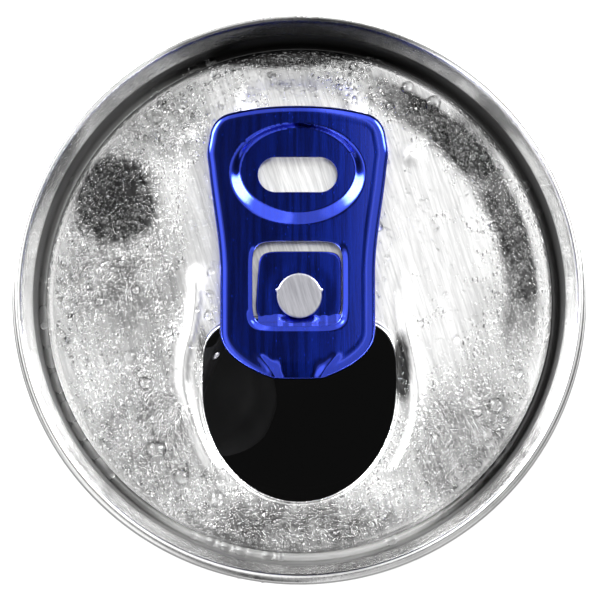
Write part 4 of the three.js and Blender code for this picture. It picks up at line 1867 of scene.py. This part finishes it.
@dataclass(frozen=True)
class DropSizes:
    """A spread of drop radii: lognormal about a middle, kept between two ends, in millimetres."""

    middle: float
    spread: float
    least: float
    most: float

    def draw(self, random: np.random.Generator, count: int) -> np.ndarray:
        """Random radii."""
        return np.clip(random.lognormal(math.log(self.middle), self.spread, count), self.least, self.most)


@dataclass
class Condensation:
    """The water: mist, drops and beads on the panel, in the groove, on the tab and on the body."""

    levels: Levels
    panel: Panel
    seed: int = 11
    mist_count: int = 8000
    mist_sizes: DropSizes = DropSizes(0.11, 0.33, 0.05, 0.24)
    mist_rise: float = 0.62
    drop_count: int = 520
    drop_sizes: DropSizes = DropSizes(0.2, 0.38, 0.13, 0.6)
    drop_rise: tuple = (0.5, 0.75)
    field_half: float = 22.2
    tries: int = 14
    chance: float = 0.12
    rim_chance: float = 0.75
    rim_span: tuple = (16.5, 21.5)
    rim_front: float = 0.25
    rim_turn: float = 0.1
    rim_back: tuple = (-0.1, 0.5)
    front_chance: float = 0.62
    front_span: tuple = (3.0, 13.0)
    left_chance: float = 0.35
    left_span: tuple = (4.0, 14.0)
    bead_chance: float = 0.15
    tab_clear: tuple = (6.6, -7.0, 16.5)
    bead_clear: tuple = (0.5, 1.0)
    large_rise: float = 0.6
    large_spots: tuple = (
        (12.2, 17.9, 1.6), (9.9, 19.4, 1.25), (10.4, 17.4, 0.95), (-13.0, 16.5, 1.0),
        (-12.9, -13.7, 1.8), (-10.6, -16.1, 1.5), (-7.4, -18.1, 1.6), (17.8, -9.7, 1.6),
        (-13.9, -7.7, 1.2), (-15.4, -5.2, 1.1), (-11.8, -3.1, 0.85), (-17.4, -6.7, 0.75),
        (-4.9, -20.8, 0.65), (3.3, -21.1, 0.65), (6.5, -20.4, 0.7), (-8.0, 2.4, 0.9),
        (-8.1, 0.4, 0.8), (-8.2, -1.6, 1.0), (15.8, 12.9, 0.9), (13.2, 14.9, 0.8),
    )
    groove_radius: float = 23.38
    groove_arc: float = 23.3
    groove_down: float = 5.95
    groove_half: tuple = (0.52, 0.5)
    groove_left_deg: tuple = (184, 188, 193, 199, 206, 211, 216, 221)
    groove_front_deg: tuple = (246, 250, 253.5, 257, 263, 266, 291, 304, 311, 314, 317.5, 321.5, 325)
    groove_back: tuple = ((95, 180, 7), (20, 80, 4))
    groove_stretch: tuple = (0.5, 1.1)
    groove_left_stretch: tuple = (1.2, 2.6)
    speck_count: int = 26
    speck_radii: tuple = (0.07, 0.15)
    speck_x: float = 5.5
    speck_y: tuple = (-6.0, 16.0)
    dish_clear: tuple = (11.2, 6.3, 4.9)
    window_clear: tuple = (4.6, -3.0, 5.4)
    speck_down: float = 0.075
    body_count: int = 1500
    body_sizes: DropSizes = DropSizes(0.26, 0.5, 0.1, 1.0)
    body_rise: float = 0.4
    body_top: float = 118.0
    body_span: float = 104.0
    body_power: float = 1.25

    def on_panel(self, x: np.ndarray, y: np.ndarray) -> tuple[np.ndarray, np.ndarray]:
        """Places and normals on the panel's relief.

        Args:
            x: x of the drops.
            y: y of the drops.

        Returns:
            Points on the surface, and its unit normals from the height's slopes.
        """
        step = 0.05
        height = self.panel.height
        slope_x = (height(x + step, y) - height(x - step, y)) / (2 * step)
        slope_y = (height(x, y + step) - height(x, y - step)) / (2 * step)
        normal = unit(np.stack([-slope_x, -slope_y, np.ones_like(x)], axis=1))
        return np.stack([x, y, self.levels.panel_z + height(x, y)], axis=1), normal

    def scatter(self, random: np.random.Generator, count: int) -> tuple[np.ndarray, np.ndarray]:
        """Random places on the wet panel, thicker where the photograph shows the most drops.

        The chance of a place grows towards the panel's rim at the back, towards the front and to
        the left, and falls on the beads; under the tab there is none.

        Args:
            random: the source of the draw.
            count: how many places.

        Returns:
            Their x and y.
        """
        x, y = random.uniform(-self.field_half, self.field_half, (2, count * self.tries))
        back = smooth_step(np.sin(np.arctan2(y, x) - self.rim_turn), *self.rim_back)
        rim = smooth_step(np.hypot(x, y), *self.rim_span) * (self.rim_front + (1 - self.rim_front) * back)
        front = smooth_step(-y, *self.front_span)
        left = smooth_step(-x, *self.left_span)
        chance = np.clip(self.chance + self.rim_chance * rim + self.front_chance * front
                         + self.left_chance * left, 0, 1)
        half, low, high = self.tab_clear
        clear = (np.abs(x - self.levels.tab_x) < half) & (y > low) & (y < high)
        for path in self.panel.bead_paths():
            beside = smooth_step(path_distance(x, y, path)[0], *self.bead_clear)
            chance = chance * (self.bead_chance + (1 - self.bead_chance) * beside)
        keep = self.panel.wet(x, y) & ~clear & (random.uniform(0, 1, len(x)) < chance)
        return x[keep][:count], y[keep][:count]

    def mist(self, random: np.random.Generator, half: int) -> bpy.types.Object:
        """One of the two sheets of breath-fine droplets.

        Args:
            random: the source of the draw.
            half: which of the two, 0 or 1.

        Returns:
            The new object.
        """
        x, y = self.scatter(random, self.mist_count)
        radius = self.mist_sizes.draw(random, len(x))
        return domes(f"mist_{half}", *self.on_panel(x, y), radius, np.full(len(x), self.mist_rise), 6, 2, 0.1,
                     half)

    def drops(self, random: np.random.Generator) -> bpy.types.Object:
        """The drops that show one by one, scattered over the panel.

        Args:
            random: the source of the draw.

        Returns:
            The new object.
        """
        x, y = self.scatter(random, self.drop_count)
        radius = self.drop_sizes.draw(random, len(x))
        rise = random.uniform(*self.drop_rise, len(x))
        return domes("drops", *self.on_panel(x, y), radius, rise, 18, 5, 0.12, 3)

    def large(self) -> bpy.types.Object:
        """The drops that stand out, each given as (x, y, diameter)."""
        x, y, size = np.array(self.large_spots).T
        return domes("large_drops", *self.on_panel(x, y), size / 2, np.full(len(x), self.large_rise), 40, 9,
                     0.08, 5)

    def groove(self) -> bpy.types.Object:
        """Beads of water in the countersink groove: drawn-out balls, wedged between its walls.

        Returns:
            The new object.
        """
        random = np.random.default_rng(self.seed + 1)
        left = len(self.groove_left_deg)
        back = [random.uniform(*span) for span in self.groove_back]
        turns = np.radians(np.concatenate([self.groove_left_deg, self.groove_front_deg, *back]))
        stretch = random.uniform(*self.groove_stretch, len(turns))
        stretch[:left] = random.uniform(*self.groove_left_stretch, left)
        u = round_steps(24)[None, None]
        v = np.linspace(0, math.pi, 13)[None, :, None]
        fat = np.sin(v) ** 0.6
        wide, tall = self.groove_half
        turn = turns[:, None, None] + (stretch[:, None, None] * 0.5 * np.cos(v) + 0 * u) / self.groove_arc
        radius = self.groove_radius + wide * fat * np.cos(u)
        z = self.levels.rim_z - self.groove_down + tall * fat * np.sin(u) + 0 * turn
        points = np.stack(np.broadcast_arrays(radius * np.cos(turn), radius * np.sin(turn), z), axis=-1)
        faces = grid_quads(13, 24)[None] + 13 * 24 * np.arange(len(turns))[:, None, None]
        return put_mesh("groove_water", points.reshape(-1, 3), faces.reshape(-1, 4), 60.0, 1e-3)

    def on_tab(self) -> bpy.types.Object:
        """A few specks of water that lie on the tab and lift with it.

        Returns:
            The new object.
        """
        random = np.random.default_rng(self.seed + 2)
        x = random.uniform(-self.speck_x, self.speck_x, self.speck_count)
        y = random.uniform(*self.speck_y, self.speck_count)
        (dish_y, wide, long), (half, low, high) = self.dish_clear, self.window_clear
        on_web = np.hypot(x / wide, (y - dish_y) / long) >= 1
        on_web &= (np.abs(x) >= half) | (y <= low) | (y >= high)
        x, y = x[on_web], y[on_web]
        middle = np.stack([x, y, np.full(len(x), self.levels.tab_high - self.speck_down)], axis=1)
        normal = np.tile([0.0, 0.0, 1.0], (len(x), 1))
        radius = random.uniform(*self.speck_radii, len(x))
        return domes("tab_specks", middle, normal, radius, np.full(len(x), 0.5), 12, 4, 0.1, 7)

    def on_body(self) -> bpy.types.Object:
        """Condensation on the body's wall, thicker towards the shoulder.

        Returns:
            The new object.
        """
        random = np.random.default_rng(self.seed + 3)
        count = self.body_count
        z = self.body_top - self.body_span * random.uniform(0, 1, count) ** self.body_power
        turn = random.uniform(0, TAU, count)
        normal = np.stack([np.cos(turn), np.sin(turn), 0 * turn], axis=1)
        middle = normal * self.levels.body_radius + np.stack([0 * z, 0 * z, z], axis=1)
        radius = self.body_sizes.draw(random, count)
        return domes("body_drops", middle, normal, radius, np.full(count, self.body_rise), 14, 4, 0.1, 9)

    def build(self, finishes: Finishes) -> None:
        """Make and dress every piece of water; the specks lift with the tab.

        Args:
            finishes: every finish.
        """
        random = np.random.default_rng(self.seed)
        lying = (self.mist(random, 0), self.mist(random, 1), self.drops(random), self.large(), self.groove())
        for piece in lying:
            dress(piece, finishes.water, Body.CAN)
        dress(self.on_tab(), finishes.water, Body.TAB)
        dress(self.on_body(), finishes.water, Body.CAN)


# The studio.


@dataclass(frozen=True)
class Glow:
    """One round patch of light in the studio's dome."""

    turn_deg: float
    off_top_deg: float
    inner_deg: float
    outer_deg: float
    strength: float


@dataclass(frozen=True)
class SoftBox:
    """One long soft box: light between two sines of lean along X or Y, with soft edges."""

    axis: str
    start: float
    full: float
    fading: float
    end: float
    strength: float


@dataclass
class Studio:
    """Pale floor, soft light and the camera at the photograph's angle."""

    camera_mm: tuple = (0.06, -14.02, 294.0)
    tilt_deg: float = 4.82
    focal_px: float = 1821.0
    base_light: float = 0.065
    least_light: float = 0.02
    floor_half: float = 900.0
    boxes: tuple = (
        SoftBox("X", 0.022, 0.085, 0.66, 0.98, 1.05),
        SoftBox("X", 0.022, 0.055, 0.08, 0.15, 0.95),
        SoftBox("X", -0.012, -0.07, -0.2, -0.34, 0.1),
        SoftBox("X", -0.18, -0.27, -0.36, -0.5, 0.7),
        SoftBox("X", -0.34, -0.5, -0.72, -0.98, 2.0),
        SoftBox("Y", 0.42, 0.56, 1.1, 1.2, 1.0),
        SoftBox("Y", -0.12, -0.5, -1.1, -1.2, -0.12),
    )
    glows: tuple = (Glow(35, 63, 10, 21, 25.0), Glow(145, 63, 10, 22, 26.0))

    def camera(self) -> None:
        """Set the camera."""
        lens = bpy.data.cameras.new("camera")
        lens.sensor_width = SENSOR_MM
        lens.lens = self.focal_px / PHOTO_SIDE_PX * SENSOR_MM
        lens.clip_start = 0.01
        holder = bpy.data.objects.new("camera", lens)
        holder.location = [c * MM for c in self.camera_mm]
        holder.rotation_euler = (math.radians(self.tilt_deg), 0, 0)
        bpy.context.scene.collection.objects.link(holder)
        bpy.context.scene.camera = holder

    def dome(self) -> None:
        """Light the world: a dim base plus soft boxes by lean and round patches by angle."""
        world = bpy.data.worlds.new("studio")
        bpy.context.scene.world = world
        world.use_nodes = True
        s = Shader(world.node_tree)
        direction = s.add("TexCoord").outputs["Generated"]
        split = s.add("SeparateXYZ")
        s.feed(split.inputs[0], direction)
        total: object = self.base_light
        for box in self.boxes:
            lean = split.outputs[box.axis]
            near, far = sorted((box.start, box.full)), sorted((box.fading, box.end))
            rising = box.start < box.full
            first = s.spread(lean, *near, *((0.0, 1.0) if rising else (1.0, 0.0)))
            last = s.spread(lean, *far, *((1.0, 0.0) if rising else (0.0, 1.0)))
            lit = s.math("MULTIPLY", s.math("MULTIPLY", first, last), box.strength)
            total = s.math("ADD", total, lit)
        for glow in self.glows:
            turn, lean = math.radians(glow.turn_deg), math.radians(glow.off_top_deg)
            axis = (math.sin(lean) * math.cos(turn), math.sin(lean) * math.sin(turn), math.cos(lean))
            dot = s.add("VectorMath", operation="DOT_PRODUCT")
            s.feed(dot.inputs[0], direction)
            dot.inputs[1].default_value = axis
            inner, outer = (math.cos(math.radians(a)) for a in (glow.inner_deg, glow.outer_deg))
            patch = s.spread(dot.outputs["Value"], outer, inner, 0.0, glow.strength)
            total = s.math("ADD", total, patch)
        background = world.node_tree.nodes["Background"]
        s.feed(background.inputs["Strength"], s.math("MAXIMUM", total, self.least_light))
        background.inputs["Color"].default_value = WHITE

    def floor(self, finishes: Finishes) -> None:
        """Lay the floor under the foot.

        Args:
            finishes: every finish.
        """
        side = self.floor_half
        corners = np.array([(-side, -side, 0), (side, -side, 0), (side, side, 0), (-side, side, 0)], float)
        ground = put_mesh("floor", corners, np.array([[0, 1, 2, 3]]), weld=0)
        ground.data.materials.append(finishes.floor)

    def build(self, finishes: Finishes) -> None:
        """Set everything that isn't the object.

        Args:
            finishes: every finish.
        """
        self.camera()
        self.dome()
        self.floor(finishes)
        view = bpy.context.scene.view_settings
        view.view_transform = "Standard"
        view.look = "None"


def main() -> None:
    """Load the frame, build each sub-assembly in order and set the studio."""
    logging.basicConfig(level=logging.INFO, format="%(name)s: %(message)s", force=True)
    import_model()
    levels = Levels.from_frame()
    panel = Panel(levels)
    finishes = Finishes()
    studio = Studio()
    studio.build(finishes)
    CanBody(levels).build(finishes)
    CanEnd(levels, panel).build(finishes)
    PullTab(levels).build(finishes)
    Condensation(levels, panel).build(finishes)


if __name__ == "__main__":
    main()
